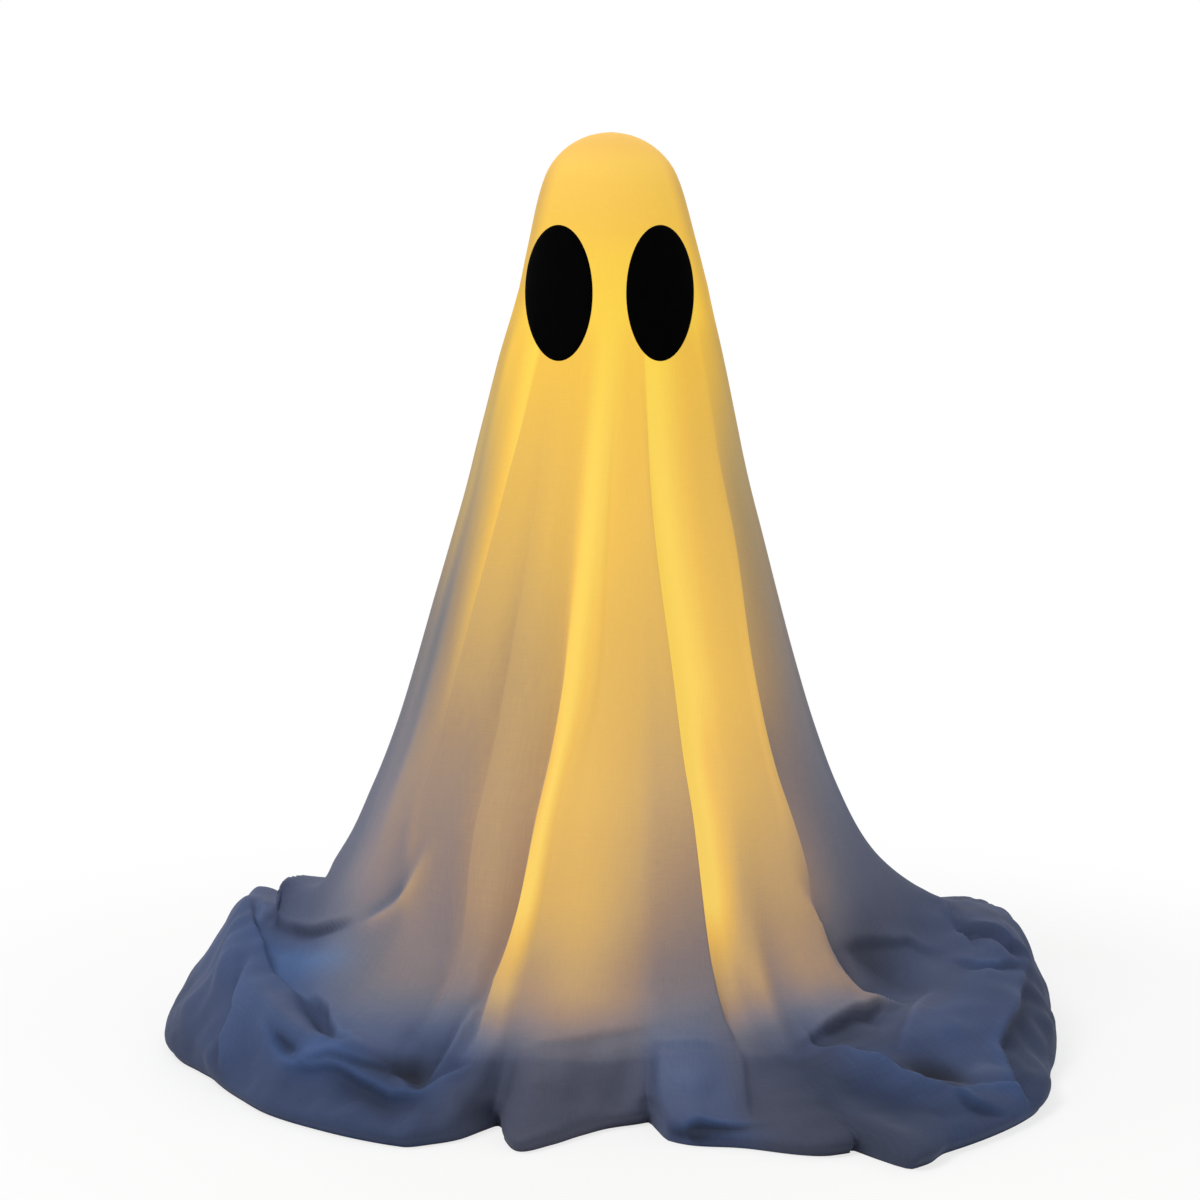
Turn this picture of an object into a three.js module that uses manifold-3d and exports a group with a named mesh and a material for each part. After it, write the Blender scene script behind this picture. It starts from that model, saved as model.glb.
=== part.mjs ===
// A floor-standing light-up ghost. A white cloth hangs over a frosted globe on a lit column, spreads like
// a tent and gathers in a pool on the floor. The column stands on a weighted base that holds four cells
// and a slide switch. Sizes are millimetres. +Z is up, the floor is z = 0 and the ghost faces -Y.
import * as THREE from "three";
import { mergeVertices } from "three/addons/utils/BufferGeometryUtils.js";
import Module from "manifold-3d";

const wasm = await Module();
wasm.setup();

// Clearances
const seatGap = 0.3; // between a piece and what it rests on or passes through
const runningGap = 0.5; // around a piece that moves

// Cells and their box
const cellRadius = 7.25;
const cellLength = 50.5;
const cellCount = 4;
const cellSpacing = 0.5;
const nubRadius = 2.7;
const nubHeight = 1.2;
const contactThickness = 0.6;
const contactHalfHeight = 5;
const contactTabHeight = 4;
const contactTabWidth = 3.2;
const springLength = 4;
const springRadius = 3;
const springWire = 0.4;
const springTurns = 3;
const domeHeight = 0.6;
const boxWall = 1.8;
const boxFlange = 6;

// Battery door and its hinge
const doorThickness = 2.5;
const hingeBarrelRadius = 2;
const hingePinRadius = 1.1;
const hingePinLength = 3;
const earThickness = 3.5;

// Base
const footRadius = 9;
const footHeight = 5;
const footPegRadius = 3.5;
const plateThickness = 3;
const housingHeight = 44;
const housingWall = 2.5;
const housingShoulder = 9;
const ballastWidth = 42;
const ballastThickness = 5;
const ballastGap = 3;
const rimRoom = 4;
const bossWall = 2.5;
const bossCount = 4;

// Screws
const screwRadius = 1.5;
const screwHeadRadius = 2.8;
const screwHeadHeight = 1.8;
const shortScrewLength = 8;

// Slide switch and its board
const boardLength = 34;
const boardWidth = 22;
const boardThickness = 1.6;
const switchLength = 12;
const switchWidth = 6;
const switchHeight = 4.5;
const sliderLength = 4.5;
const sliderWidth = 3;
const sliderProud = 2.5;
const sliderTravel = 3; // each way from the middle position

// Column
const mastWidth = 20;
const mastWall = 1.6;
const mastPortRadius = 3;
const diffuserRadius = 32;
const diffuserWall = 2;
const diffuserLength = 708.2;
const socketRadius = 42;
const socketThickness = 4;
const collarHeight = 12;
const pocketDepth = 6;
const stripWidth = 10;
const stripThickness = 0.6;
const stripEndRoom = 14;
const ledSize = 5;
const ledHeight = 1.4;
const ledPitch = 52;

// Globe and the cap that carries it
const capThickness = 4;
const spigotRadius = 24;
const spigotWall = 2;
const spigotHeight = 22;
const headBoardRadius = 20;
const globeRadius = 67;
const globeWall = 2;
const globeNeckHeight = 13.4;

// Leads
const leadRadius = 0.8;
const leadSides = 6;

// Cloth
const clothThickness = 2.5;
const hoodEase = 1.6; // how much wider the hood is than the globe
const hoodAngle = 75; // degrees from the crown at which the cloth leaves the globe
const foldDepth = 25;
const foldMean = 0.7; // the fold height that lies on the measured outline
const foldTopShare = 0.19; // share of the drop at which the folds begin
const foldFullShare = 0.8; // share of the drop at which they are full
const hemSpread = 383; // how far the hem reaches beyond the hood at the sides
const poolHeight = 100;
const poolFold = 14; // height of the folds that carry on over the pool

// Felt eyes
const feltThickness = 1.5;
const eyeCentreArc = 53; // along the cloth, from the front centre line
const eyeInnerHalf = 36;
const eyeOuterHalf = 47;
const eyeHalfHeight = 66.5;
const eyeBelowCrown = 156;

// Levels, from the floor up
const plateBottom = footHeight;
const plateTop = plateBottom + plateThickness;
const housingTop = plateBottom + housingHeight;
const housingCeiling = housingTop - housingWall;
const socketTop = housingTop + socketThickness;
const diffuserTop = socketTop + diffuserLength;
const mastBottom = socketTop + collarHeight - pocketDepth;
const mastTop = diffuserTop - seatGap;
const capTop = diffuserTop + capThickness;
const spigotTop = capTop + spigotHeight;
const neckRadius = spigotRadius + seatGap + globeWall;
const globeCentre = capTop + globeNeckHeight + Math.sqrt(globeRadius ** 2 - neckRadius ** 2);
const hoodRadius = globeRadius + hoodEase + clothThickness;
const hoodCentre = globeCentre + globeRadius + seatGap + clothThickness - hoodRadius;
const crown = hoodCentre + hoodRadius;

// Base widths, from the cells outwards
const cellPitch = 2 * cellRadius + cellSpacing;
const contactStack = contactThickness + 2 * seatGap;
const boxInnerLength = cellLength + springLength + 2 * contactStack;
const boxInnerWidth = cellCount * cellPitch;
const boxHalfLength = boxInnerLength / 2 + boxWall;
const boxHalfWidth = boxInnerWidth / 2 + boxWall;
const ballastBore = Math.hypot(boxHalfLength, boxHalfWidth + boxFlange) + ballastGap;
const ballastRadius = ballastBore + ballastWidth;
const innerRimRadius = ballastRadius + rimRoom;
const baseRadius = innerRimRadius + housingWall;
const screwHoleRadius = screwRadius + seatGap;
const bossRadius = screwHoleRadius + bossWall;
const bossCircle = (ballastBore + ballastRadius) / 2;
const footCircle = ballastRadius - footRadius;

// Solids

const radians = (degrees) => (degrees * Math.PI) / 180;

function toManifold(geometry) {
  const bare = geometry.clone();
  bare.deleteAttribute("normal");
  bare.deleteAttribute("uv");
  const merged = mergeVertices(bare, 1e-4);
  const made = new wasm.Manifold(
    new wasm.Mesh({
      numProp: 3,
      vertProperties: new Float32Array(merged.attributes.position.array),
      triVerts: new Uint32Array(merged.index.array),
    }),
  );
  if (made.volume() > 0) return made;
  const index = merged.index.array;
  for (let i = 0; i < index.length; i += 3) [index[i], index[i + 1]] = [index[i + 1], index[i]];
  return new wasm.Manifold(
    new wasm.Mesh({
      numProp: 3,
      vertProperties: new Float32Array(merged.attributes.position.array),
      triVerts: new Uint32Array(index),
    }),
  );
}

function toGeometry(manifold) {
  const mesh = manifold.getMesh();
  return new THREE.BufferGeometry()
    .setAttribute("position", new THREE.BufferAttribute(new Float32Array(mesh.vertProperties), 3))
    .setIndex(new THREE.BufferAttribute(new Uint32Array(mesh.triVerts), 1));
}

function block(x0, x1, y0, y1, z0, z1) {
  const geometry = new THREE.BoxGeometry(x1 - x0, y1 - y0, z1 - z0);
  geometry.translate((x0 + x1) / 2, (y0 + y1) / 2, (z0 + z1) / 2);
  return toManifold(geometry);
}

// A solid turned about a vertical axis through (x, y), from points [radius, height].
function turned(points, segments = 24, x = 0, y = 0) {
  const closed = points.map(([r, z]) => new THREE.Vector2(r, z));
  const onAxis = points[0][0] === 0 && points[points.length - 1][0] === 0;
  if (!onAxis) closed.push(closed[0].clone());
  const geometry = new THREE.LatheGeometry(closed, segments);
  geometry.rotateX(Math.PI / 2);
  geometry.translate(x, y, 0);
  return toManifold(geometry);
}

function rod(radius, z0, z1, x = 0, y = 0, segments = 16) {
  const geometry = new THREE.CylinderGeometry(radius, radius, z1 - z0, segments);
  geometry.rotateX(Math.PI / 2);
  geometry.translate(x, y, (z0 + z1) / 2);
  return toManifold(geometry);
}

// A rod along X or Y.
function crossRod(radius, start, end, axis, a, b, segments = 16) {
  const geometry = new THREE.CylinderGeometry(radius, radius, end - start, segments);
  if (axis === "x") geometry.rotateZ(Math.PI / 2).translate((start + end) / 2, a, b);
  else geometry.translate(a, (start + end) / 2, b);
  return toManifold(geometry);
}

// A round-sectioned solid along a smooth curve through points.
function tube(points, radius, sides, steps) {
  const outline = [];
  for (let i = 0; i < sides; i++) {
    const turn = (2 * Math.PI * i) / sides;
    outline.push(new THREE.Vector2(radius * Math.cos(turn), radius * Math.sin(turn)));
  }
  const curve = new THREE.CatmullRomCurve3(points.map((p) => new THREE.Vector3(...p)), false, "centripetal");
  const geometry = new THREE.ExtrudeGeometry(new THREE.Shape(outline), { steps, extrudePath: curve });
  return toManifold(geometry);
}

const onCircle = (radius, count, startDegrees) =>
  Array.from({ length: count }, (_, i) => {
    const turn = radians(startDegrees + (360 * i) / count);
    return [radius * Math.cos(turn), radius * Math.sin(turn)];
  });

// Materials

const material = (color, roughness, metalness = 0, more = {}) =>
  new THREE.MeshStandardMaterial({ color, roughness, metalness, ...more });
const finishes = {
  cloth: material(0xd9c9ac, 0.9, 0, { emissive: 0x6b4a12 }),
  felt: material(0x070707, 0.95),
  frosted: material(0xf4ead2, 0.45, 0, { emissive: 0xa87a28, transparent: true, opacity: 0.9 }),
  whitePlastic: material(0xe6e4de, 0.5),
  greyPlastic: material(0x4a4c50, 0.6),
  blackPlastic: material(0x16171a, 0.5),
  aluminium: material(0xb9bcc0, 0.35, 0.9),
  steel: material(0x8d9094, 0.4, 0.9),
  rubber: material(0x222224, 0.9),
  cell: material(0x2f5f46, 0.35, 0.4),
  spring: material(0xc9cbd0, 0.3, 1),
  board: material(0x1f5a3a, 0.5),
  strip: material(0xf2efe4, 0.4, 0, { emissive: 0xd8a040 }),
  redLead: material(0xa3201c, 0.5),
  blackLead: material(0x151515, 0.5),
};

const ghost = new THREE.Group();
const frame = new THREE.Group();
const cover = new THREE.Group();
const batteryDoor = new THREE.Group();
const switchKnob = new THREE.Group();
ghost.add(frame, cover, batteryDoor, switchKnob);

function addPiece(group, name, solid, finish) {
  const geometry = solid.isBufferGeometry ? solid : toGeometry(solid);
  geometry.computeVertexNormals();
  const mesh = new THREE.Mesh(geometry, finishes[finish]);
  mesh.name = name;
  group.add(mesh);
}

// A pan-head screw that points up (direction 1) or down (direction -1), with its head against seat.
function screw(x, y, seat, length, direction) {
  const head = seat - direction * screwHeadHeight;
  const tip = seat + direction * length;
  const profile = [
    [0, head],
    [screwHeadRadius * 0.8, head],
    [screwHeadRadius, head + direction * screwHeadHeight * 0.5],
    [screwHeadRadius, seat],
    [screwRadius, seat],
    [screwRadius, tip - direction * screwRadius],
    [0, tip],
  ];
  return turned(profile, 10, x, y);
}

// Base: feet, plate, ballast, housing

const footPlaces = onCircle(footCircle, 4, 0);
const bossPlaces = onCircle(bossCircle, bossCount, 45);
const ballastTop = plateTop + ballastThickness;
const ballastStop = ballastTop + seatGap;
const hingeX = -(boxHalfLength + runningGap + hingeBarrelRadius);
const hingeZ = plateBottom + hingeBarrelRadius;
const doorHalfWidth = boxInnerWidth / 2;
const doorEnd = boxInnerLength / 2;
const doorTop = plateBottom + doorThickness;
const earStart = doorHalfWidth + runningGap;
const earEnd = earStart + earThickness;
const boxScrewY = boxHalfWidth + boxFlange / 2;

function makeFoot(x, y) {
  const profile = [
    [0, 0],
    [footRadius - 1.5, 0],
    [footRadius, 1.5],
    [footRadius, footHeight],
    [footPegRadius, footHeight],
    [footPegRadius, plateTop],
    [0, plateTop],
  ];
  return turned(profile, 20, x, y);
}

function makePlate() {
  let plate = rod(innerRimRadius - 2 * seatGap, plateBottom, plateTop, 0, 0, 40);
  const low = plateBottom - 1;
  const high = plateTop + 1;
  plate = plate.subtract(
    block(hingeX - hingeBarrelRadius - runningGap, doorEnd + runningGap, -earStart, earStart, low, high),
  );
  for (const [x, y] of footPlaces) plate = plate.subtract(rod(footPegRadius + seatGap, low, high, x, y));
  for (const [x, y] of bossPlaces) {
    plate = plate.subtract(rod(screwHoleRadius, low, high, x, y, 12));
    plate = plate.subtract(rod(screwHeadRadius + seatGap, low, plateBottom + screwHeadHeight, x, y));
  }
  for (const side of [-1, 1]) {
    plate = plate.subtract(rod(screwHoleRadius, low, high, 0, side * boxScrewY, 12));
    plate = plate.subtract(
      rod(screwHeadRadius + seatGap, low, plateBottom + screwHeadHeight, 0, side * boxScrewY),
    );
    const near = side > 0 ? earStart : -earEnd;
    const ear = block(
      hingeX - hingeBarrelRadius - runningGap,
      hingeX + hingeBarrelRadius,
      near,
      near + earThickness,
      plateBottom,
      hingeZ + hingeBarrelRadius + 1,
    );
    plate = plate.add(ear);
  }
  const pinRoom = hingePinLength + 2 * runningGap;
  const pinEnd = doorHalfWidth + pinRoom;
  return plate.subtract(crossRod(hingePinRadius + seatGap / 2, -pinEnd, pinEnd, "y", hingeX, hingeZ));
}

function makeBallast() {
  const profile = [
    [ballastBore, plateTop],
    [ballastRadius, plateTop],
    [ballastRadius, ballastTop],
    [ballastBore, ballastTop],
  ];
  let ring = turned(profile, 40);
  for (const [x, y] of bossPlaces) {
    ring = ring.subtract(rod(bossRadius + seatGap, plateTop - 1, ballastTop + 1, x, y));
  }
  return ring;
}

const sliderY = -(ballastRadius - boardWidth / 2 - rimRoom);
const boardTop = housingCeiling - seatGap - switchHeight;
const boardBottom = boardTop - boardThickness;
const boardScrewX = boardLength / 2 - screwHeadRadius - 1;
const leadHoleRadius = leadRadius + 2 * runningGap;
const portOffset = mastWidth / 2 - mastWall - mastPortRadius + 1;
const wireHoleRadius = portOffset * Math.SQRT2 + leadHoleRadius;
const collarRadius = diffuserRadius - diffuserWall - seatGap;
const socketScrewCircle = collarRadius - screwHoleRadius - 1.3;
const socketScrewPlaces = onCircle(socketScrewCircle, 3, 30);

function makeHousing() {
  const profile = [[innerRimRadius, plateBottom]];
  profile.push([baseRadius, plateBottom]);
  const steps = 3;
  for (let i = 0; i <= steps; i++) {
    const turn = (Math.PI / 2) * (i / steps);
    profile.push([
      baseRadius - housingShoulder + housingShoulder * Math.cos(turn),
      housingTop - housingShoulder + housingShoulder * Math.sin(turn),
    ]);
  }
  profile.push([wireHoleRadius, housingTop]);
  profile.push([wireHoleRadius, housingCeiling]);
  const inner = housingShoulder - housingWall;
  for (let i = steps; i >= 0; i--) {
    const turn = (Math.PI / 2) * (i / steps);
    profile.push([
      innerRimRadius - inner + inner * Math.cos(turn),
      housingCeiling - inner + inner * Math.sin(turn),
    ]);
  }
  let housing = turned(profile, 40);
  for (const [x, y] of bossPlaces) {
    housing = housing.add(rod(bossRadius, plateTop + seatGap, ballastTop, x, y));
    housing = housing.add(rod(bossRadius + 2, ballastStop, housingCeiling + 1, x, y));
    housing = housing.add(rod(bossRadius, ballastTop - 1, ballastStop + 1, x, y));
    housing = housing.subtract(rod(screwHoleRadius, plateBottom, plateTop + 2 * shortScrewLength, x, y, 12));
  }
  for (const side of [-1, 1]) {
    const x = side * boardScrewX;
    housing = housing.add(rod(bossRadius, boardTop + seatGap, housingCeiling + 1, x, sliderY));
    housing = housing.subtract(
      rod(screwHoleRadius, boardTop, housingCeiling + housingWall / 2, x, sliderY, 12),
    );
  }
  for (const [x, y] of socketScrewPlaces) {
    housing = housing.subtract(rod(screwHoleRadius, housingCeiling - 1, housingTop + 1, x, y, 12));
  }
  const slotLength = sliderLength / 2 + sliderTravel + runningGap;
  const slotWidth = sliderWidth / 2 + runningGap;
  return housing.subtract(
    block(
      -slotLength,
      slotLength,
      sliderY - slotWidth,
      sliderY + slotWidth,
      housingCeiling - 1,
      housingTop + 1,
    ),
  );
}

footPlaces.forEach(([x, y], i) => addPiece(frame, `foot_${i + 1}`, makeFoot(x, y), "rubber"));
addPiece(frame, "base_plate", makePlate(), "greyPlastic");
addPiece(frame, "ballast_ring", makeBallast(), "steel");
addPiece(frame, "base_housing", makeHousing(), "whitePlastic");
bossPlaces.forEach(([x, y], i) =>
  addPiece(
    frame,
    `base_screw_${i + 1}`,
    screw(x, y, plateBottom + screwHeadHeight, 1.5 * shortScrewLength, 1),
    "steel",
  ),
);

// Battery box, cells, contacts and door

const cellCentreZ = doorTop + seatGap + cellRadius;
const boxCeiling = cellCentreZ + cellRadius + seatGap;
const boxTop = boxCeiling + boxWall;
const flangeTop = plateTop + boxWall;
const cellY = (index) => (index - (cellCount - 1) / 2) * cellPitch;
const endX = boxInnerLength / 2 - seatGap - contactThickness; // inner face of a contact, from the middle

function makeBatteryBox() {
  let box = block(-boxHalfLength, boxHalfLength, -boxHalfWidth, boxHalfWidth, plateTop, boxTop);
  const flangeX = boxHalfLength - 2 * boxFlange;
  const flangeY = boxHalfWidth + boxFlange;
  box = box.add(block(-flangeX, flangeX, -flangeY, flangeY, plateTop, flangeTop));
  const innerX = boxInnerLength / 2;
  const innerY = boxInnerWidth / 2;
  box = box.subtract(block(-innerX, innerX, -innerY, innerY, plateTop - 1, boxCeiling));
  for (const side of [-1, 1]) {
    box = box.subtract(rod(screwHoleRadius, plateTop - 1, flangeTop + 1, 0, side * boxScrewY, 12));
    const slotY = side * cellY(cellCount - 1);
    const half = contactTabWidth / 2 + seatGap;
    box = box.subtract(
      block(-innerX, seatGap - endX, slotY - half, slotY + half, boxCeiling - 1, boxTop + 1),
    );
  }
  return box;
}

// Alternate cells point opposite ways, so the four are in series.
function makeCell(index) {
  const toPlus = index % 2 === 0 ? 1 : -1;
  const bodyLength = cellLength - nubHeight;
  const plusFace = toPlus * (endX - seatGap - domeHeight);
  const bodyEnd = plusFace - toPlus * nubHeight;
  const bodyStart = bodyEnd - toPlus * bodyLength;
  const low = Math.min(bodyStart, bodyEnd);
  const body = crossRod(cellRadius, low, low + bodyLength, "x", cellY(index), cellCentreZ, 20);
  const nubLow = Math.min(bodyEnd - toPlus, plusFace);
  const nub = crossRod(nubRadius, nubLow, nubLow + nubHeight + 1, "x", cellY(index), cellCentreZ, 12);
  return body.add(nub);
}

// The contact plate at one end of the box, across the cells from first to last.
function contactPlate(side, first, last) {
  const x0 = side > 0 ? endX : -endX - contactThickness;
  return block(
    x0,
    x0 + contactThickness,
    cellY(first) - contactHalfHeight,
    cellY(last) + contactHalfHeight,
    cellCentreZ - contactHalfHeight,
    cellCentreZ + contactHalfHeight,
  );
}

function contactSpring(side, index) {
  const points = [];
  const perTurn = 8;
  const count = springTurns * perTurn;
  const reach = springLength - seatGap - springWire;
  for (let i = 0; i <= count; i++) {
    const turn = (2 * Math.PI * i) / perTurn;
    points.push([
      side * (endX + springWire / 2 - (i / count) * reach),
      cellY(index) + springRadius * Math.cos(turn),
      cellCentreZ + springRadius * Math.sin(turn),
    ]);
  }
  return tube(points, springWire, 5, count);
}

// The low dome that a cell's plus nub presses on.
function contactDome(side, index) {
  const root = contactThickness / 2;
  const start = side > 0 ? endX - domeHeight : -endX - root;
  return crossRod(0.8 * nubRadius, start, start + domeHeight + root, "x", cellY(index), cellCentreZ, 10);
}

function contactTab(side, index) {
  const x0 = side > 0 ? endX : -endX - contactThickness;
  return block(
    x0,
    x0 + contactThickness,
    cellY(index) - contactTabWidth / 2,
    cellY(index) + contactTabWidth / 2,
    cellCentreZ,
    boxTop + contactTabHeight,
  );
}

// Minus ends lie at -X for even cells and at +X for odd ones.
addPiece(frame, "battery_box", makeBatteryBox(), "blackPlastic");
for (let i = 0; i < cellCount; i++) addPiece(frame, `cell_${i + 1}`, makeCell(i), "cell");
addPiece(
  frame,
  "contact_minus",
  contactPlate(-1, 0, 0).add(contactSpring(-1, 0)).add(contactTab(-1, 0)),
  "spring",
);
addPiece(
  frame,
  "contact_plus",
  contactPlate(-1, cellCount - 1, cellCount - 1)
    .add(contactDome(-1, cellCount - 1))
    .add(contactTab(-1, cellCount - 1)),
  "spring",
);
for (let i = 0; i < cellCount - 1; i++) {
  const side = i % 2 === 0 ? 1 : -1;
  const bridge = contactPlate(side, i, i + 1).add(contactDome(side, i)).add(contactSpring(side, i + 1));
  addPiece(frame, `contact_bridge_${i + 1}`, bridge, "spring");
}
[-1, 1].forEach((side, i) =>
  addPiece(
    frame,
    `box_screw_${i + 1}`,
    screw(0, side * boxScrewY, plateBottom + screwHeadHeight, shortScrewLength, 1),
    "steel",
  ),
);

function makeDoor() {
  const edge = runningGap;
  let door = block(hingeX, doorEnd, -doorHalfWidth, doorHalfWidth, plateBottom, doorTop);
  door = door.add(crossRod(hingeBarrelRadius, -doorHalfWidth, doorHalfWidth, "y", hingeX, hingeZ));
  const pinEnd = doorHalfWidth + hingePinLength;
  door = door.add(crossRod(hingePinRadius, -pinEnd, pinEnd, "y", hingeX, hingeZ));
  const latchHalf = 5;
  door = door.add(
    block(doorEnd - edge - 1.2, doorEnd - edge, -latchHalf, latchHalf, doorTop - 1, doorTop + 4 * edge),
  );
  const gripDepth = 1;
  for (let i = 0; i < 4; i++) {
    const x = doorEnd - 6 - 3 * i;
    door = door.subtract(
      block(x, x + 1.2, -2 * latchHalf, 2 * latchHalf, plateBottom - 1, plateBottom + gripDepth),
    );
  }
  return door;
}

addPiece(batteryDoor, "battery_door", makeDoor(), "greyPlastic");

// Slide switch and its board, under the housing's top near the front

function makeBoard() {
  const y0 = sliderY - boardWidth / 2;
  let board = block(-boardLength / 2, boardLength / 2, y0, y0 + boardWidth, boardBottom, boardTop);
  for (const side of [-1, 1]) {
    const x = side * boardScrewX;
    board = board.subtract(rod(screwHoleRadius, boardBottom - 1, boardTop + 1, x, sliderY, 12));
  }
  board = board.add(block(-4, 4, y0 + 2, y0 + 7, boardBottom - 1.6, boardBottom + 0.2));
  return board.add(block(7, 11, y0 + 2, y0 + 5, boardBottom - 1.2, boardBottom + 0.2));
}

function makeSwitchBody() {
  const top = boardTop + switchHeight;
  const half = sliderLength / 2 + sliderTravel + runningGap;
  const body = block(
    -switchLength / 2,
    switchLength / 2,
    sliderY - switchWidth / 2,
    sliderY + switchWidth / 2,
    boardTop,
    top,
  );
  return body.subtract(
    block(
      -half,
      half,
      sliderY - sliderWidth / 2 - runningGap,
      sliderY + sliderWidth / 2 + runningGap,
      boardTop + switchHeight / 2,
      top + 1,
    ),
  );
}

// The knob has fine ridges across its top for the finger.
function makeSlider() {
  const top = housingTop + sliderProud;
  let knob = block(
    -sliderLength / 2,
    sliderLength / 2,
    sliderY - sliderWidth / 2,
    sliderY + sliderWidth / 2,
    boardTop + switchHeight / 2 + seatGap,
    top,
  );
  for (const x of [-1.2, 0, 1.2]) {
    knob = knob.subtract(
      block(x - 0.25, x + 0.25, sliderY - sliderWidth, sliderY + sliderWidth, top - 0.4, top + 1),
    );
  }
  return knob;
}

addPiece(frame, "control_board", makeBoard(), "board");
addPiece(frame, "switch_body", makeSwitchBody(), "aluminium");
addPiece(switchKnob, "switch_slider", makeSlider(), "blackPlastic");
[-1, 1].forEach((side, i) =>
  addPiece(
    frame,
    `board_screw_${i + 1}`,
    screw(side * boardScrewX, sliderY, boardBottom, switchHeight + boardThickness, 1),
    "steel",
  ),
);

// Column: socket, mast, light strips, diffuser

const mastHalf = mastWidth / 2;
const portPlaces = [
  [portOffset, portOffset],
  [-portOffset, -portOffset],
];

function makeSocket() {
  const profile = [
    [0, housingTop],
    [socketRadius, housingTop],
    [socketRadius, socketTop - 1],
    [socketRadius - 1, socketTop],
    [collarRadius, socketTop],
    [collarRadius, socketTop + collarHeight - 1],
    [collarRadius - 1, socketTop + collarHeight],
    [0, socketTop + collarHeight],
  ];
  let socket = turned(profile, 32);
  const pocket = mastHalf + seatGap;
  socket = socket.subtract(
    block(-pocket, pocket, -pocket, pocket, mastBottom, socketTop + collarHeight + 1),
  );
  for (const [x, y] of portPlaces) {
    socket = socket.subtract(rod(screwHoleRadius, housingTop - 1, mastBottom + 1, x, y, 12));
    socket = socket.subtract(rod(screwHeadRadius + seatGap, housingTop - 1, socketTop, x, y));
  }
  for (const side of [-1, 1]) {
    socket = socket.subtract(
      rod(leadHoleRadius, housingTop - 1, mastBottom + 1, side * portOffset, -side * portOffset, 12),
    );
  }
  for (const [x, y] of socketScrewPlaces) {
    socket = socket.subtract(rod(screwHoleRadius, housingTop - 1, housingTop + shortScrewLength, x, y, 12));
  }
  return socket;
}

function makeMast() {
  const half = mastHalf;
  const bore = mastHalf - mastWall;
  let mast = block(-half, half, -half, half, mastBottom, mastTop);
  mast = mast.subtract(block(-bore, bore, -bore, bore, mastBottom - 1, mastTop + 1));
  for (const [x, y] of portPlaces) {
    mast = mast.add(rod(mastPortRadius, mastBottom, mastTop, x, y, 12));
    mast = mast.subtract(rod(screwHoleRadius, mastBottom - 1, mastTop + 1, x, y, 12));
  }
  return mast;
}

// One strip lies on each face of the mast. It is made on the +X face and turned to its own.
function makeStrip(quarterTurns) {
  const face = mastHalf + seatGap;
  const bottom = socketTop + collarHeight + stripEndRoom;
  const top = diffuserTop - collarHeight - stripEndRoom;
  let strip = block(face, face + stripThickness, -stripWidth / 2, stripWidth / 2, bottom, top);
  const ledCount = Math.floor((top - bottom - ledSize) / ledPitch) + 1;
  const first = (bottom + top - (ledCount - 1) * ledPitch) / 2;
  for (let i = 0; i < ledCount; i++) {
    const z = first + i * ledPitch;
    strip = strip.add(
      block(
        face,
        face + stripThickness + ledHeight,
        -ledSize / 2,
        ledSize / 2,
        z - ledSize / 2,
        z + ledSize / 2,
      ),
    );
  }
  return strip.rotate([0, 0, 90 * quarterTurns]);
}

function makeDiffuser() {
  const bore = diffuserRadius - diffuserWall;
  const profile = [
    [bore, socketTop],
    [diffuserRadius, socketTop],
    [diffuserRadius, diffuserTop],
    [bore, diffuserTop],
  ];
  return turned(profile, 36);
}

addPiece(frame, "column_socket", makeSocket(), "whitePlastic");
socketScrewPlaces.forEach(([x, y], i) =>
  addPiece(frame, `socket_screw_${i + 1}`, screw(x, y, housingCeiling, shortScrewLength, 1), "steel"),
);
addPiece(frame, "mast", makeMast(), "aluminium");
portPlaces.forEach(([x, y], i) =>
  addPiece(
    frame,
    `mast_screw_${i + 1}`,
    screw(x, y, socketTop, mastBottom - socketTop + shortScrewLength, 1),
    "steel",
  ),
);
for (let i = 0; i < 4; i++) addPiece(frame, `light_strip_${i + 1}`, makeStrip(i), "strip");
addPiece(frame, "diffuser_tube", makeDiffuser(), "frosted");

// Head: cap, lamp board, globe

const postRadius = screwHoleRadius + bossWall / 2;

function makeCap() {
  const collarBottom = diffuserTop - collarHeight;
  const collarBore = collarRadius - 2 * bossWall;
  const profile = [
    [collarBore, collarBottom],
    [collarRadius, collarBottom],
    [collarRadius, diffuserTop],
    [diffuserRadius + seatGap, diffuserTop],
    [diffuserRadius + seatGap, capTop],
    [spigotRadius, capTop],
    [spigotRadius, spigotTop],
    [spigotRadius - spigotWall, spigotTop],
    [spigotRadius - spigotWall, capTop],
    [postRadius, capTop],
    [postRadius, diffuserTop],
    [collarBore, diffuserTop],
  ];
  let cap = turned(profile, 32);
  cap = cap.add(rod(postRadius + 1, diffuserTop, spigotTop, 0, 0, 16));
  cap = cap.subtract(rod(screwHoleRadius, spigotTop - 1.5 * shortScrewLength, spigotTop + 1, 0, 0, 12));
  for (const [x, y] of portPlaces) {
    cap = cap.subtract(rod(screwHoleRadius, diffuserTop - 1, capTop + 1, x, y, 12));
  }
  for (const side of [-1, 1]) {
    cap = cap.subtract(
      rod(leadHoleRadius, diffuserTop - 1, capTop + 1, side * portOffset, -side * portOffset, 12),
    );
  }
  return cap;
}

function makeHeadBoard() {
  const top = spigotTop + boardThickness;
  let board = rod(headBoardRadius + spigotWall, spigotTop, top, 0, 0, 28);
  board = board.subtract(rod(screwHoleRadius, spigotTop - 1, top + 1, 0, 0, 12));
  for (const [x, y] of onCircle(headBoardRadius * 0.65, 6, 0)) {
    const half = ledSize / 2;
    board = board.add(block(x - half, x + half, y - half, y + half, spigotTop + 0.5, top + ledHeight));
  }
  return board;
}

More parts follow.
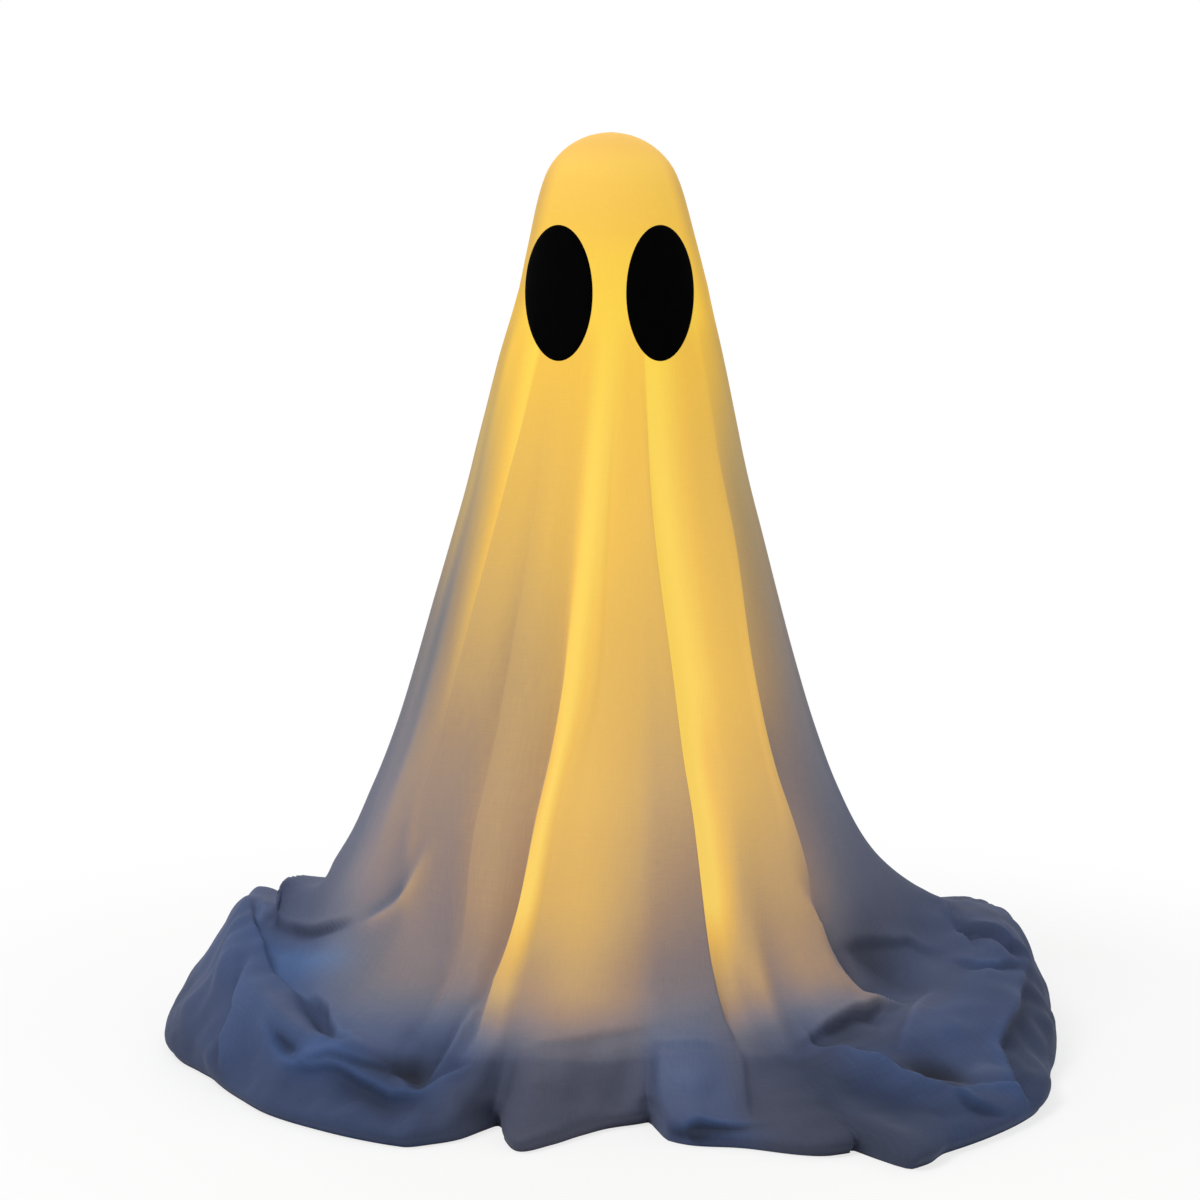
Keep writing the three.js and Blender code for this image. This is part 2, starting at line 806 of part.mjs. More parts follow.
// The globe is a blown shell with a straight neck that slides over the cap's spigot.
function makeGlobe() {
  const outer = [];
  const inner = [];
  const crownStep = hoodAngle / 5;
  const neckTurn = 180 - THREE.MathUtils.radToDeg(Math.asin(neckRadius / globeRadius));
  const turns = [];
  for (let turn = 0; turn <= hoodAngle; turn += crownStep) turns.push(turn);
  const below = 4;
  for (let i = 1; i <= below; i++) turns.push(hoodAngle + ((neckTurn - hoodAngle) * i) / below);
  for (const turn of turns) {
    const s = Math.sin(radians(turn));
    const c = Math.cos(radians(turn));
    outer.push([turn === 0 ? 0 : globeRadius * s, globeCentre + globeRadius * c]);
    inner.push([turn === 0 ? 0 : (globeRadius - globeWall) * s, globeCentre + (globeRadius - globeWall) * c]);
  }
  inner.pop();
  const bore = neckRadius - globeWall;
  const profile = [...outer, [neckRadius, capTop], [bore, capTop]];
  profile.push([bore, globeCentre - Math.sqrt((globeRadius - globeWall) ** 2 - bore ** 2)]);
  profile.push(...inner.reverse());
  return turned(profile, 32);
}

addPiece(frame, "globe_cap", makeCap(), "whitePlastic");
portPlaces.forEach(([x, y], i) =>
  addPiece(frame, `cap_screw_${i + 1}`, screw(x, y, capTop, capThickness + shortScrewLength, -1), "steel"),
);
addPiece(frame, "head_board", makeHeadBoard(), "strip");
addPiece(
  frame,
  "head_board_screw",
  screw(0, 0, spigotTop + boardThickness, shortScrewLength, -1),
  "steel",
);
addPiece(frame, "head_globe", makeGlobe(), "frosted");

// Leads: from the box's end contacts to the board, and from the board up the mast to the lamp board

const tabTop = boxTop + contactTabHeight;
const tabX = -(endX + contactThickness / 2);
const leadEndY = sliderY + boardWidth / 2 - 3;

function makeBatteryLead(side) {
  const start = [tabX, side * cellY(cellCount - 1), tabTop + seatGap];
  const end = [-7 + 1.5 * side, leadEndY, boardBottom - seatGap];
  const route = [
    start,
    [tabX, start[1], tabTop + 4],
    [tabX + 4 + 2 * side, start[1] - 9, tabTop + 5],
    [-19 + 3 * side, -45, tabTop + 4],
    [end[0], leadEndY + 8, boardBottom - 7],
    [end[0], end[1], end[2] - 3],
    end,
  ];
  return tube(route, leadRadius, leadSides, 28);
}

function makeLampLead(side) {
  const x = side * portOffset;
  const y = -side * portOffset;
  const start = [7 + 1.5 * side, leadEndY, boardBottom - seatGap];
  const route = [
    start,
    [start[0], leadEndY, boardBottom - 3],
    [start[0], leadEndY + 9, boardBottom - 7],
    [x, y - 12, boardBottom - 8],
    [x, y - 2, boardBottom - 5],
    [x, y, boardBottom],
    [x, y, housingCeiling],
    [x, y, mastBottom],
    [x, y, (mastBottom + mastTop) / 2],
    [x, y, capTop],
    [x, y, spigotTop - 4],
    [x, y, spigotTop - seatGap],
  ];
  return tube(route, leadRadius, leadSides, 40);
}

addPiece(frame, "battery_lead_minus", makeBatteryLead(-1), "blackLead");
addPiece(frame, "battery_lead_plus", makeBatteryLead(1), "redLead");
addPiece(frame, "lamp_lead_minus", makeLampLead(-1), "blackLead");
addPiece(frame, "lamp_lead_plus", makeLampLead(1), "redLead");

// Cloth. Angles are degrees from the front, towards +X. Each fold line runs from the head to the floor and may
// turn on the way, so a line has an angle where the folds begin, an angle at the floor, and the fold's height.

const frontFoldLines = [
  { top: -58, foot: -64, height: 0.15 },
  { top: -49, foot: -54, height: 0.75 },
  { top: -41, foot: -47, height: 1 },
  { top: -37.5, foot: -43, height: 0.12 },
  { top: -32, foot: -36, height: 0.5 },
  { top: -27, foot: -30.5, height: 0.1 },
  { top: -18, foot: -24, height: 0.45 },
  { top: -9, foot: -19, height: 0.15 },
  { top: -3.5, foot: -14.5, height: 0.95 },
  { top: 3, foot: -9, height: 0.4 },
  { top: 8, foot: -1, height: 0.5 },
  { top: 12, foot: 7, height: 0.35 },
  { top: 16, foot: 15, height: 0 },
  { top: 20, foot: 18.5, height: 1 },
  { top: 28, foot: 27, height: 0.65 },
  { top: 34, foot: 33, height: 0.35 },
  { top: 41, foot: 40, height: 0.2 },
  { top: 50, foot: 48, height: 0.85 },
  { top: 54, foot: 53, height: 0.1 },
  { top: 65, foot: 65, height: 0.5 },
  { top: 77, foot: 77, height: 0.1 },
  { top: 88, foot: 88, height: 0.8 },
];
const backFoldHeights = [0.9, 0.7, 1, 0.75, 0.95, 0.7];

// The back folds lean one way: a slow rise, a crest and a quick fall.
function backFoldLines() {
  const first = frontFoldLines[frontFoldLines.length - 1].foot;
  const last = frontFoldLines[0].foot + 360;
  const pitch = (last - first) / backFoldHeights.length;
  const lines = [];
  backFoldHeights.forEach((height, i) => {
    const start = first + i * pitch;
    lines.push({ top: start + 0.3 * pitch, foot: start + 0.3 * pitch, height: 0.1 });
    lines.push({ top: start + 0.62 * pitch, foot: start + 0.62 * pitch, height: height * 0.6 });
    lines.push({ top: start + 0.85 * pitch, foot: start + 0.85 * pitch, height });
  });
  return lines.map((line) => (line.top > 270 ? { ...line, top: line.top + 4 } : line));
}

// Stations of the hanging cloth below the hood: share of the drop to the floor, and share of hemSpread.
const hangingStations = [
  [0.2, 0.113],
  [0.338, 0.182],
  [0.478, 0.268],
  [0.592, 0.345],
  [0.691, 0.426],
];

// The lower cloth at angles round the ghost. Each line gives the flare, the valley where the standing cloth
// meets the gathered cloth, the crest and the shoulder as [share of hemSpread, share of poolHeight], and then
// the hem's share of hemSpread.
const poolLines = [
  [-90, [0.53, 1.9], [0.66, 1.28], [0.81, 1.24], [0.91, 0.74], 0.99],
  [-77, [0.53, 1.8], [0.65, 1.14], [0.79, 1.12], [0.9, 0.66], 0.99],
  [-67, [0.53, 1.68], [0.64, 1.04], [0.77, 1.04], [0.86, 0.58], 0.94],
  [-50, [0.5, 1.56], [0.61, 0.86], [0.72, 0.84], [0.84, 0.46], 0.93],
  [-33, [0.49, 1.44], [0.59, 0.76], [0.68, 0.78], [0.8, 0.42], 0.91],
  [-24, [0.48, 1.36], [0.58, 0.72], [0.65, 0.76], [0.76, 0.42], 0.85],
  [-19.5, [0.47, 1.3], [0.57, 0.7], [0.6, 0.72], [0.64, 0.44], 0.67],
  [-12, [0.47, 1.3], [0.57, 0.72], [0.64, 0.76], [0.75, 0.42], 0.85],
  [-3, [0.47, 1.28], [0.56, 0.7], [0.6, 0.74], [0.65, 0.46], 0.68],
  [7, [0.47, 1.28], [0.56, 0.7], [0.58, 0.72], [0.59, 0.46], 0.6],
  [9, [0.47, 1.28], [0.56, 0.7], [0.6, 0.74], [0.7, 0.44], 0.76],
  [18, [0.48, 1.32], [0.57, 0.7], [0.64, 0.74], [0.75, 0.42], 0.85],
  [27, [0.49, 1.36], [0.58, 0.72], [0.67, 0.74], [0.82, 0.4], 0.99],
  [30, [0.5, 1.39], [0.59, 0.72], [0.67, 0.74], [0.8, 0.38], 0.93],
  [33, [0.5, 1.41], [0.6, 0.72], [0.69, 0.74], [0.92, 0.4], 1.15],
  [42, [0.52, 1.48], [0.62, 0.74], [0.72, 0.78], [0.94, 0.48], 1.11],
  [55, [0.53, 1.6], [0.64, 0.84], [0.75, 0.86], [0.96, 0.56], 1.09],
  [70, [0.53, 1.76], [0.66, 1], [0.79, 1], [0.92, 0.62], 1.01],
  [90, [0.53, 1.9], [0.7, 1.34], [0.83, 1.18], [0.94, 0.76], 1.01],
  [105, [0.53, 1.76], [0.7, 1.12], [0.91, 0.98], [0.99, 0.66], 1.02],
  [120, [0.52, 1.62], [0.69, 0.9], [0.96, 0.92], [1.06, 0.54], 1.09],
  [133, [0.52, 1.54], [0.68, 0.72], [0.89, 0.84], [1, 0.46], 1.05],
  [146, [0.51, 1.46], [0.66, 0.58], [0.88, 0.82], [1.01, 0.46], 1.07],
  [160, [0.51, 1.4], [0.65, 0.46], [0.79, 0.5], [0.93, 0.28], 0.99],
  [172, [0.51, 1.38], [0.64, 0.44], [0.77, 0.58], [0.87, 0.32], 0.93],
  [188, [0.51, 1.38], [0.64, 0.44], [0.75, 0.44], [0.87, 0.26], 0.93],
  [203, [0.51, 1.42], [0.65, 0.5], [0.84, 0.72], [0.97, 0.42], 1.03],
  [218, [0.52, 1.48], [0.67, 0.6], [0.85, 0.64], [1.01, 0.38], 1.07],
  [232, [0.52, 1.58], [0.68, 0.78], [0.87, 1.02], [0.99, 0.58], 1.04],
  [247, [0.53, 1.72], [0.68, 0.96], [0.89, 1], [0.99, 0.58], 1.04],
  [260, [0.53, 1.84], [0.67, 1.16], [0.85, 1.12], [0.95, 0.68], 1],
];

const hoodEdgeRadius = hoodRadius * Math.sin(radians(hoodAngle));
const hoodEdgeZ = hoodCentre + hoodRadius * Math.cos(radians(hoodAngle));

const mixLines = (a, b, share) =>
  Array.isArray(a) ? a.map((value, i) => mixLines(value, b[i], share)) : a + (b - a) * share;

function poolAt(angle) {
  const start = poolLines[0][0];
  const wrapped = start + ((((angle - start) % 360) + 360) % 360);
  const lines = [...poolLines, [start + 360, ...poolLines[0].slice(1)]];
  const next = lines.findIndex((line, i) => i > 0 && wrapped <= line[0]);
  const share = (wrapped - lines[next - 1][0]) / (lines[next][0] - lines[next - 1][0]);
  return mixLines(lines[next - 1], lines[next], share).slice(1);
}

function smoothStep(low, high, value) {
  const t = Math.min(1, Math.max(0, (value - low) / (high - low)));
  return t * t * (3 - 2 * t);
}

// Radius of the smooth cloth at a height, before any fold.
function hangingRadius(z) {
  const share = (hoodEdgeZ - z) / hoodEdgeZ;
  const stations = [[0, 0], ...hangingStations];
  const next = Math.max(1, stations.findIndex((station) => station[0] >= share));
  const [lowShare, lowSpread] = stations[next - 1];
  const [highShare, highSpread] = stations[next];
  const spread = lowSpread + ((highSpread - lowSpread) * (share - lowShare)) / (highShare - lowShare);
  return hoodEdgeRadius + spread * hemSpread;
}

// The rows of one fold line, from the crown to the hem, as [radius, height, angle].
function clothColumn(line) {
  const rows = [];
  for (let turn = 15; turn <= hoodAngle; turn += 15) {
    rows.push([
      hoodRadius * Math.sin(radians(turn)),
      hoodCentre + hoodRadius * Math.cos(radians(turn)),
      line.top,
    ]);
  }
  const angleAt = (share) =>
    line.top + (line.foot - line.top) * Math.min(1, Math.max(0, (share - foldTopShare) / 0.55));
  const fold = (share) =>
    foldDepth * smoothStep(foldTopShare, foldFullShare, share) * (line.height - foldMean);
  for (const [share, spread] of hangingStations) {
    rows.push([hoodEdgeRadius + spread * hemSpread + fold(share), hoodEdgeZ * (1 - share), angleAt(share)]);
  }
  const [flare, valley, crest, shoulder, hem] = poolAt(line.foot);
  const overPool = poolFold * (line.height - foldMean);
  const place = ([spread, height], outward, upward) =>
    rows.push([
      hoodEdgeRadius + spread * hemSpread + outward,
      Math.max(2 * clothThickness, height * poolHeight + upward),
      line.foot,
    ]);
  place(flare, fold(1), 0);
  place(valley, 0.7 * fold(1), 0);
  place(crest, 0.5 * overPool, overPool);
  place(shoulder, 0, 0.5 * overPool);
  rows.push([hoodEdgeRadius + hem * hemSpread, clothThickness, line.foot]);
  return rows;
}

const clothPoint = ([r, z, angle]) =>
  new THREE.Vector3(r * Math.sin(radians(angle)), -r * Math.cos(radians(angle)), z);

// The cloth is a sheet of even thickness: an outer skin, an inner skin offset along its normals, and the
// hem's edge.
function makeCloth() {
  const columns = [...frontFoldLines, ...backFoldLines()].map((line) => clothColumn(line).map(clothPoint));
  const count = columns.length;
  const rowCount = columns[0].length;
  const top = new THREE.Vector3(0, 0, crown);
  const at = (i, j) => (j < 0 ? top : columns[(i + count) % count][Math.min(j, rowCount - 1)]);
  const innerColumns = columns.map((column, i) =>
    column.map((point, j) => {
      const along = at(i, j + 1).clone().sub(at(i, j - 1));
      const across = at(i + 1, j).clone().sub(at(i - 1, j));
      const normal = across.cross(along).normalize().negate();
      const inner = point.clone().addScaledVector(normal, -clothThickness);
      inner.z = Math.max(0, inner.z);
      if (j === rowCount - 1) inner.set(point.x, point.y, 0);
      return inner;
    }),
  );
  const positions = [];
  const addTriangle = (a, b, c) => positions.push(...a.toArray(), ...b.toArray(), ...c.toArray());
  const addSkin = (skin, apex, outward) => {
    for (let i = 0; i < count; i++) {
      const next = (i + 1) % count;
      const face = outward ? addTriangle : (a, b, c) => addTriangle(a, c, b);
      face(apex, skin[i][0], skin[next][0]);
      for (let j = 0; j < rowCount - 1; j++) {
        face(skin[i][j], skin[i][j + 1], skin[next][j + 1]);
        face(skin[i][j], skin[next][j + 1], skin[next][j]);
      }
    }
  };
  addSkin(columns, top, true);
  addSkin(innerColumns, new THREE.Vector3(0, 0, crown - clothThickness), false);
  for (let i = 0; i < count; i++) {
    const next = (i + 1) % count;
    const last = rowCount - 1;
    addTriangle(columns[i][last], innerColumns[i][last], innerColumns[next][last]);
    addTriangle(columns[i][last], innerColumns[next][last], columns[next][last]);
  }
  const geometry = new THREE.BufferGeometry();
  geometry.setAttribute("position", new THREE.Float32BufferAttribute(positions, 3));
  return toManifold(geometry);
}

// A felt oval, cut fuller on its outer side so that it looks even from the front, wrapped on the cloth.
function makeEye(side) {
  const rings = 4;
  const around = 24;
  const centreZ = crown - eyeBelowCrown;
  const place = (share, turn, offset) => {
    const half = Math.cos(turn) > 0 ? eyeOuterHalf : eyeInnerHalf;
    const arc = eyeCentreArc + share * half * Math.cos(turn);
    const z = centreZ + share * eyeHalfHeight * Math.sin(turn);
    const radius = hangingRadius(z) + seatGap + offset;
    const angle = (side * arc) / hangingRadius(z);
    return new THREE.Vector3(radius * Math.sin(angle), -radius * Math.cos(angle), z);
  };
  const positions = [];
  const addTriangle = (a, b, c) => positions.push(...a.toArray(), ...b.toArray(), ...c.toArray());
  for (let i = 0; i < around; i++) {
    const a = (2 * Math.PI * i) / around;
    const b = (2 * Math.PI * ((i + 1) % around)) / around;
    for (const [offset, backwards] of [
      [feltThickness, false],
      [0, true],
    ]) {
      const face = backwards ? (p, q, r) => addTriangle(p, r, q) : addTriangle;
      face(place(0, 0, offset), place(1 / rings, a, offset), place(1 / rings, b, offset));
      for (let k = 1; k < rings; k++) {
        const low = k / rings;
        const high = (k + 1) / rings;
        face(place(low, a, offset), place(high, a, offset), place(high, b, offset));
        face(place(low, a, offset), place(high, b, offset), place(low, b, offset));
      }
    }
    addTriangle(place(1, a, feltThickness), place(1, a, 0), place(1, b, 0));
    addTriangle(place(1, a, feltThickness), place(1, b, 0), place(1, b, feltThickness));
  }
  const geometry = new THREE.BufferGeometry();
  geometry.setAttribute("position", new THREE.Float32BufferAttribute(positions, 3));
  return toManifold(geometry);
}

addPiece(cover, "cloth", makeCloth(), "cloth");
addPiece(cover, "eye_left", makeEye(-1), "felt");
addPiece(cover, "eye_right", makeEye(1), "felt");

export default ghost;
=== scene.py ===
import bmesh, bpy, math
import numpy as np
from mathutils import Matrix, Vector


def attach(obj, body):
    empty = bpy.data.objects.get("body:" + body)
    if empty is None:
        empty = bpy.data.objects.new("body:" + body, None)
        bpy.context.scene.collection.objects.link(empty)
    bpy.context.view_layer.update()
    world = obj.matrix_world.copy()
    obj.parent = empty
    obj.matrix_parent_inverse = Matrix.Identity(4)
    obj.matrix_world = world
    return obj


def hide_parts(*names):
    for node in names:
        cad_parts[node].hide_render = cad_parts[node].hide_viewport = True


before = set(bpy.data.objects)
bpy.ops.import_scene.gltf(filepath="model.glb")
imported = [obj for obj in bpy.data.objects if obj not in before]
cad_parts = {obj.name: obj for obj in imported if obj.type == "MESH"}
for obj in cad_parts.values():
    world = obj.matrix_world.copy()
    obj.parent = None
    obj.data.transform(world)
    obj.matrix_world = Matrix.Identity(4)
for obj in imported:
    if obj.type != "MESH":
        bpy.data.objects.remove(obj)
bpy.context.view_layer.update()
mm = 0.001
print("frame loaded:", len(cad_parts), "nodes")


def addObject(name, data):
    obj = bpy.data.objects.new(name, data)
    bpy.context.scene.collection.objects.link(obj)
    return obj


def makeMesh(name, points, faces):
    # a smooth-shaded mesh of points in mm
    mesh = bpy.data.meshes.new(name)
    mesh.from_pydata((np.array(points, float) * mm).tolist(), [], faces)
    mesh.polygons.foreach_set("use_smooth", np.ones(len(mesh.polygons), bool))
    mesh.update()
    return mesh


def feed(tree, node, inputs):
    # each input takes a value, or a link from another node's output
    for name, value in inputs.items():
        if isinstance(value, bpy.types.NodeSocket):
            tree.links.new(value, node.inputs[name])
        else:
            node.inputs[name].default_value = value


def makeNode(tree, kind, inputs={}, **settings):
    node = tree.nodes.new("ShaderNode" + kind)
    for name, value in settings.items():
        setattr(node, name, value)
    feed(tree, node, inputs)
    return node


def maths(tree, operation, *values):
    return makeNode(tree, "Math", dict(enumerate(values)), operation=operation).outputs[0]


def mixColours(tree, share, a, b, **settings):
    mixed = makeNode(tree, "Mix", {"Factor": share, "A": a, "B": b}, data_type="RGBA", **settings)
    return mixed.outputs["Result"]


def newMaterial(name):
    mat = bpy.data.materials.new(name)
    mat.use_nodes = True
    mat.node_tree.nodes.clear()
    return mat, mat.node_tree


camera = {"place": (-0.009, -3.0, 0.85), "pitch": 7.64, "lens": 90.8, "sensor": 36.0}


def makeCamera(p):
    data = bpy.data.cameras.new("camera")
    data.lens, data.sensor_width, data.sensor_fit = p["lens"], p["sensor"], "HORIZONTAL"
    obj = addObject("camera", data)
    obj.location = p["place"]
    obj.rotation_euler = (math.radians(90 - p["pitch"]), 0, 0)
    bpy.context.scene.camera = obj


lamps = [  # name, place, size, watts
    ("keyLamp", (-1.7, -1.5, 3.4), 1.6, 74),
    ("fillLamp", (2.6, -2.2, 1.9), 2.6, 7),
    ("backLamp", (0.4, 2.8, 2.6), 2.4, 22),
]
lampTarget = (0, 0, 0.35)


def makeLamp(name, place, size, watts):
    data = bpy.data.lights.new(name, "AREA")
    data.shape, data.size, data.energy = "DISK", size, watts
    obj = addObject(name, data)
    obj.location = place
    obj.rotation_euler = (Vector(lampTarget) - Vector(place)).to_track_quat("-Z", "Y").to_euler()


studio = {
    "ambient": 0.52, "floorHalf": 9000, "floorDrop": 0.6, "floorShade": 0.86,
    "shadowShare": 0.26, "shadowNear": 0.5, "shadowFar": 1.1,  # metres from the middle of the floor
}


def seenDirectly(tree):
    # 1 for rays from the camera or by way of gloss and glass
    rays = makeNode(tree, "LightPath").outputs
    seen = maths(tree, "MAXIMUM", rays["Is Camera Ray"], rays["Is Glossy Ray"])
    return maths(tree, "MAXIMUM", seen, rays["Is Transmission Ray"])


def makeWorld(p):
    world = bpy.data.worlds.new("studioWorld")
    world.use_nodes = True
    tree = world.node_tree
    tree.nodes.clear()
    strength = makeNode(tree, "Mix", {"Factor": seenDirectly(tree), "A": p["ambient"], "B": 1.0})
    back = makeNode(tree, "Background", {"Color": (1, 1, 1, 1), "Strength": strength.outputs["Result"]})
    makeNode(tree, "OutputWorld", {"Surface": back.outputs[0]})
    bpy.context.scene.world = world


def makeFloor(p):
    half, shade = p["floorHalf"], p["floorShade"]
    corners = [(-half, -half, 0), (half, -half, 0), (half, half, 0), (-half, half, 0)]
    floor = addObject("floor", makeMesh("floor", corners, [(0, 1, 2, 3)]))
    floor.location = (0, 0, -p["floorDrop"] * mm)
    mat, tree = newMaterial("studioFloor")
    # the shadow shows near the ghost and fades out to plain white
    place = makeNode(tree, "NewGeometry").outputs["Position"]
    away = makeNode(tree, "VectorMath", {0: place}, operation="LENGTH").outputs["Value"]
    fade = makeNode(tree, "MapRange", {
        "Value": away, "From Min": p["shadowNear"], "From Max": p["shadowFar"],
        "To Min": 1 - p["shadowShare"], "To Max": 1,
    }, interpolation_type="SMOOTHSTEP").outputs["Result"]
    lit = makeNode(tree, "BsdfPrincipled", {"Base Color": (shade, shade, shade, 1), "Roughness": 0.9})
    plainWhite = makeNode(tree, "Emission")
    share = maths(tree, "MULTIPLY", seenDirectly(tree), fade)
    both = makeNode(tree, "MixShader", {0: share, 1: lit.outputs[0], 2: plainWhite.outputs[0]})
    makeNode(tree, "OutputMaterial", {"Surface": both.outputs[0]})
    floor.data.materials.append(mat)


makeCamera(camera)
for lamp in lamps:
    makeLamp(*lamp)
makeWorld(studio)
makeFloor(studio)
bpy.context.scene.view_settings.view_transform = "Standard"
print("camera and studio made")


def linear(red, green, blue):
    # a colour written as 0..255 values, as the shader wants it
    out = []
    for value in (red, green, blue):
        c = value / 255
        out.append(c / 12.92 if c <= 0.04045 else ((c + 0.055) / 1.055) ** 2.4)
    return (*out, 1.0)


def pchip(x, y, at):
    # a smooth curve through the points that never overshoots them; y may hold many columns
    h = np.diff(x)[:, None]
    slope = np.diff(y, axis=0) / h
    m = np.zeros_like(y)
    w1, w2 = 2 * h[1:] + h[:-1], h[1:] + 2 * h[:-1]
    with np.errstate(divide="ignore", invalid="ignore"):
        inner = (w1 + w2) / (w1 / slope[:-1] + w2 / slope[1:])
    m[1:-1] = np.where(slope[:-1] * slope[1:] > 0, inner, 0)
    m[0], m[-1] = slope[0], slope[-1]
    i = np.clip(np.searchsorted(x, at, side="right") - 1, 0, len(x) - 2)
    step = (x[i + 1] - x[i])[:, None]
    t = ((at - x[i]) / (x[i + 1] - x[i]))[:, None]
    return ((1 + 2 * t) * (1 - t) ** 2 * y[i] + t * (1 - t) ** 2 * step * m[i]
            + t * t * (3 - 2 * t) * y[i + 1] + t * t * (t - 1) * step * m[i + 1])


def smooth(low, high, value):
    t = np.clip((value - low) / (high - low), 0, 1)
    return t * t * (3 - 2 * t)


cloth = {
    "thickness": 1.2, "hemInset": 7, "hemHeight": 11, "hemLift": 0.7,
    "domeRadius": 71.1, "domeCentre": 838.9, "domePolar": (5, 15, 30, 45, 60, 75),
    "frontHalf": 92, "frontSpacing": 2.25, "backSpacing": 6.5, "spacedAt": 300,  # columns, at a radius
    "rowSpacings": ((0, 7.5), (540, 7.5), (680, 3.4), (2000, 3.4)),  # path from the crown, row spacing
    "foldsFrom": (700, 560), "foldsTo": (-40, 30),  # heights where folds begin, path about valley and crest
    "wave": 4.5, "waveSize": 110, "ripple": 1.2, "rippleSize": 42,  # uneven lifts of the gathered cloth
    "wavesFrom": (-60, 30), "hemStill": (6, 40),  # path from the valley, and path from the hem
    "sideCalm": 0.7, "calmFrom": (70, 95), "calmTo": (150, 120),  # fewer waves at the sides, in degrees
    "hanging": 160, "crownRise": 0.4,  # path of reach -2 above the flare, and the crown's middle
    "flat": (1.5, 1.16), "flatArea": 1.5,
}

standing = (  # height, radius of the smooth hanging cloth
    (805, 82.2), (746, 96.2), (687, 111.8), (628, 125), (568, 138.3),
    (508, 154.6), (448, 171.5), (387, 189), (326, 208.1), (265, 231.8),
)

# The gathered cloth on the floor: angle from the front towards +X, then radius and height of the flare,
# the valley, the crest and the shoulder, the radius of the hem, and how far the hem stands off the floor.
pool = np.array([
    (-90, 272, 187, 330, 138, 363, 141, 403, 91, 450, 0),
    (-82, 272, 181, 336, 118, 370, 126, 405, 78, 447, 0),
    (-77, 272, 178, 338, 106, 376, 116, 409, 68, 440, 0),
    (-72, 271, 172, 342, 99, 378, 106, 408, 62, 428, 0),
    (-67, 270, 167, 346, 92, 380, 98, 406, 56, 421, 0),
    (-58, 266, 162, 346, 86, 378, 86, 402, 49, 421, 0),
    (-50, 262, 156, 342, 78, 372, 75, 400, 44, 424, 0),
    (-40, 259, 150, 326, 78, 362, 70, 395, 40, 421, 0),
    (-33, 256, 144, 304, 82, 342, 68, 386, 40, 420, 0),
    (-27, 253, 138, 294, 84, 328, 65, 370, 38, 418, 0),
    (-24, 252, 136, 290, 84, 320, 63, 356, 38, 399, 0),
    (-21.5, 251, 132, 286, 83, 312, 62, 342, 37, 376, 0),
    (-20, 250, 131, 285, 83, 304, 61, 322, 37, 346, 4),
    (-18.7, 250, 130, 284, 82, 300, 61, 314, 37, 328, 7),
    (-17.2, 250, 130, 284, 82, 301, 61, 318, 37, 338, 4),
    (-15.4, 250, 130, 284, 83, 308, 62, 336, 37, 366, 0),
    (-12, 250, 130, 284, 84, 312, 64, 354, 38, 395, 0),
    (-8.4, 250, 129, 282, 83, 307, 63, 338, 38, 372, 0),
    (-4.6, 250, 128, 279, 82, 299, 62, 318, 38, 342, 0),
    (0, 250, 128, 276, 80, 293, 61, 304, 38, 318, 1),
    (5, 250, 128, 275, 80, 290, 61, 297, 38, 307, 2),
    (7, 250, 128, 275, 80, 290, 61, 297, 38, 303, 3),
    (8.6, 250, 128, 279, 80, 300, 62, 328, 38, 358, 0),
    (18, 252, 132, 285, 84, 314, 64, 354, 38, 396, 0),
    (27, 256, 136, 290, 84, 326, 64, 386, 36, 445, 0),
    (29.2, 258, 138, 292, 84, 328, 64, 387, 35, 446, 0),
    (30, 259, 139, 294, 84, 330, 64, 387, 34, 439, 2),
    (30.4, 260, 140, 295, 84, 332, 64, 393, 35, 460, 1),
    (30.9, 260, 141, 297, 84, 334, 64, 402, 36, 490, 0),
    (31.7, 261, 141, 299, 84, 337, 64, 414, 36, 511, 0),
    (34, 262, 142, 301, 84, 340, 64, 420, 36, 508, 0),
    (38, 264, 145, 309, 83, 348, 65, 426, 40, 494, 0),
    (42, 266, 148, 318, 82, 356, 66, 432, 44, 492, 0),
    (55, 270, 160, 330, 86, 372, 82, 436, 54, 486, 0),
    (70, 272, 176, 326, 102, 380, 102, 422, 62, 456, 0),
    (90, 275, 190, 338, 139, 395, 125, 433, 84, 449, 0),
    (105, 270, 177, 335, 112, 417, 111, 441, 70, 460, 0),
    (120, 268, 162, 334, 90, 442, 96, 476, 58, 488, 4),
    (133, 266, 154, 328, 72, 408, 84, 450, 46, 470, 0),
    (146, 264, 146, 322, 58, 404, 82, 456, 46, 478, 0),
    (160, 264, 140, 316, 46, 370, 50, 424, 28, 446, 7),
    (172, 264, 138, 312, 44, 364, 58, 402, 32, 424, 0),
    (188, 264, 138, 312, 44, 356, 44, 400, 26, 424, 0),
    (203, 264, 142, 318, 50, 390, 72, 440, 42, 464, 5),
    (218, 266, 148, 324, 60, 396, 64, 456, 38, 480, 0),
    (232, 268, 158, 330, 78, 400, 102, 446, 58, 468, 0),
    (247, 270, 172, 330, 98, 400, 100, 440, 60, 460, 3),
    (260, 272, 183, 328, 133, 365, 142, 405, 92, 450, 0),
], float)

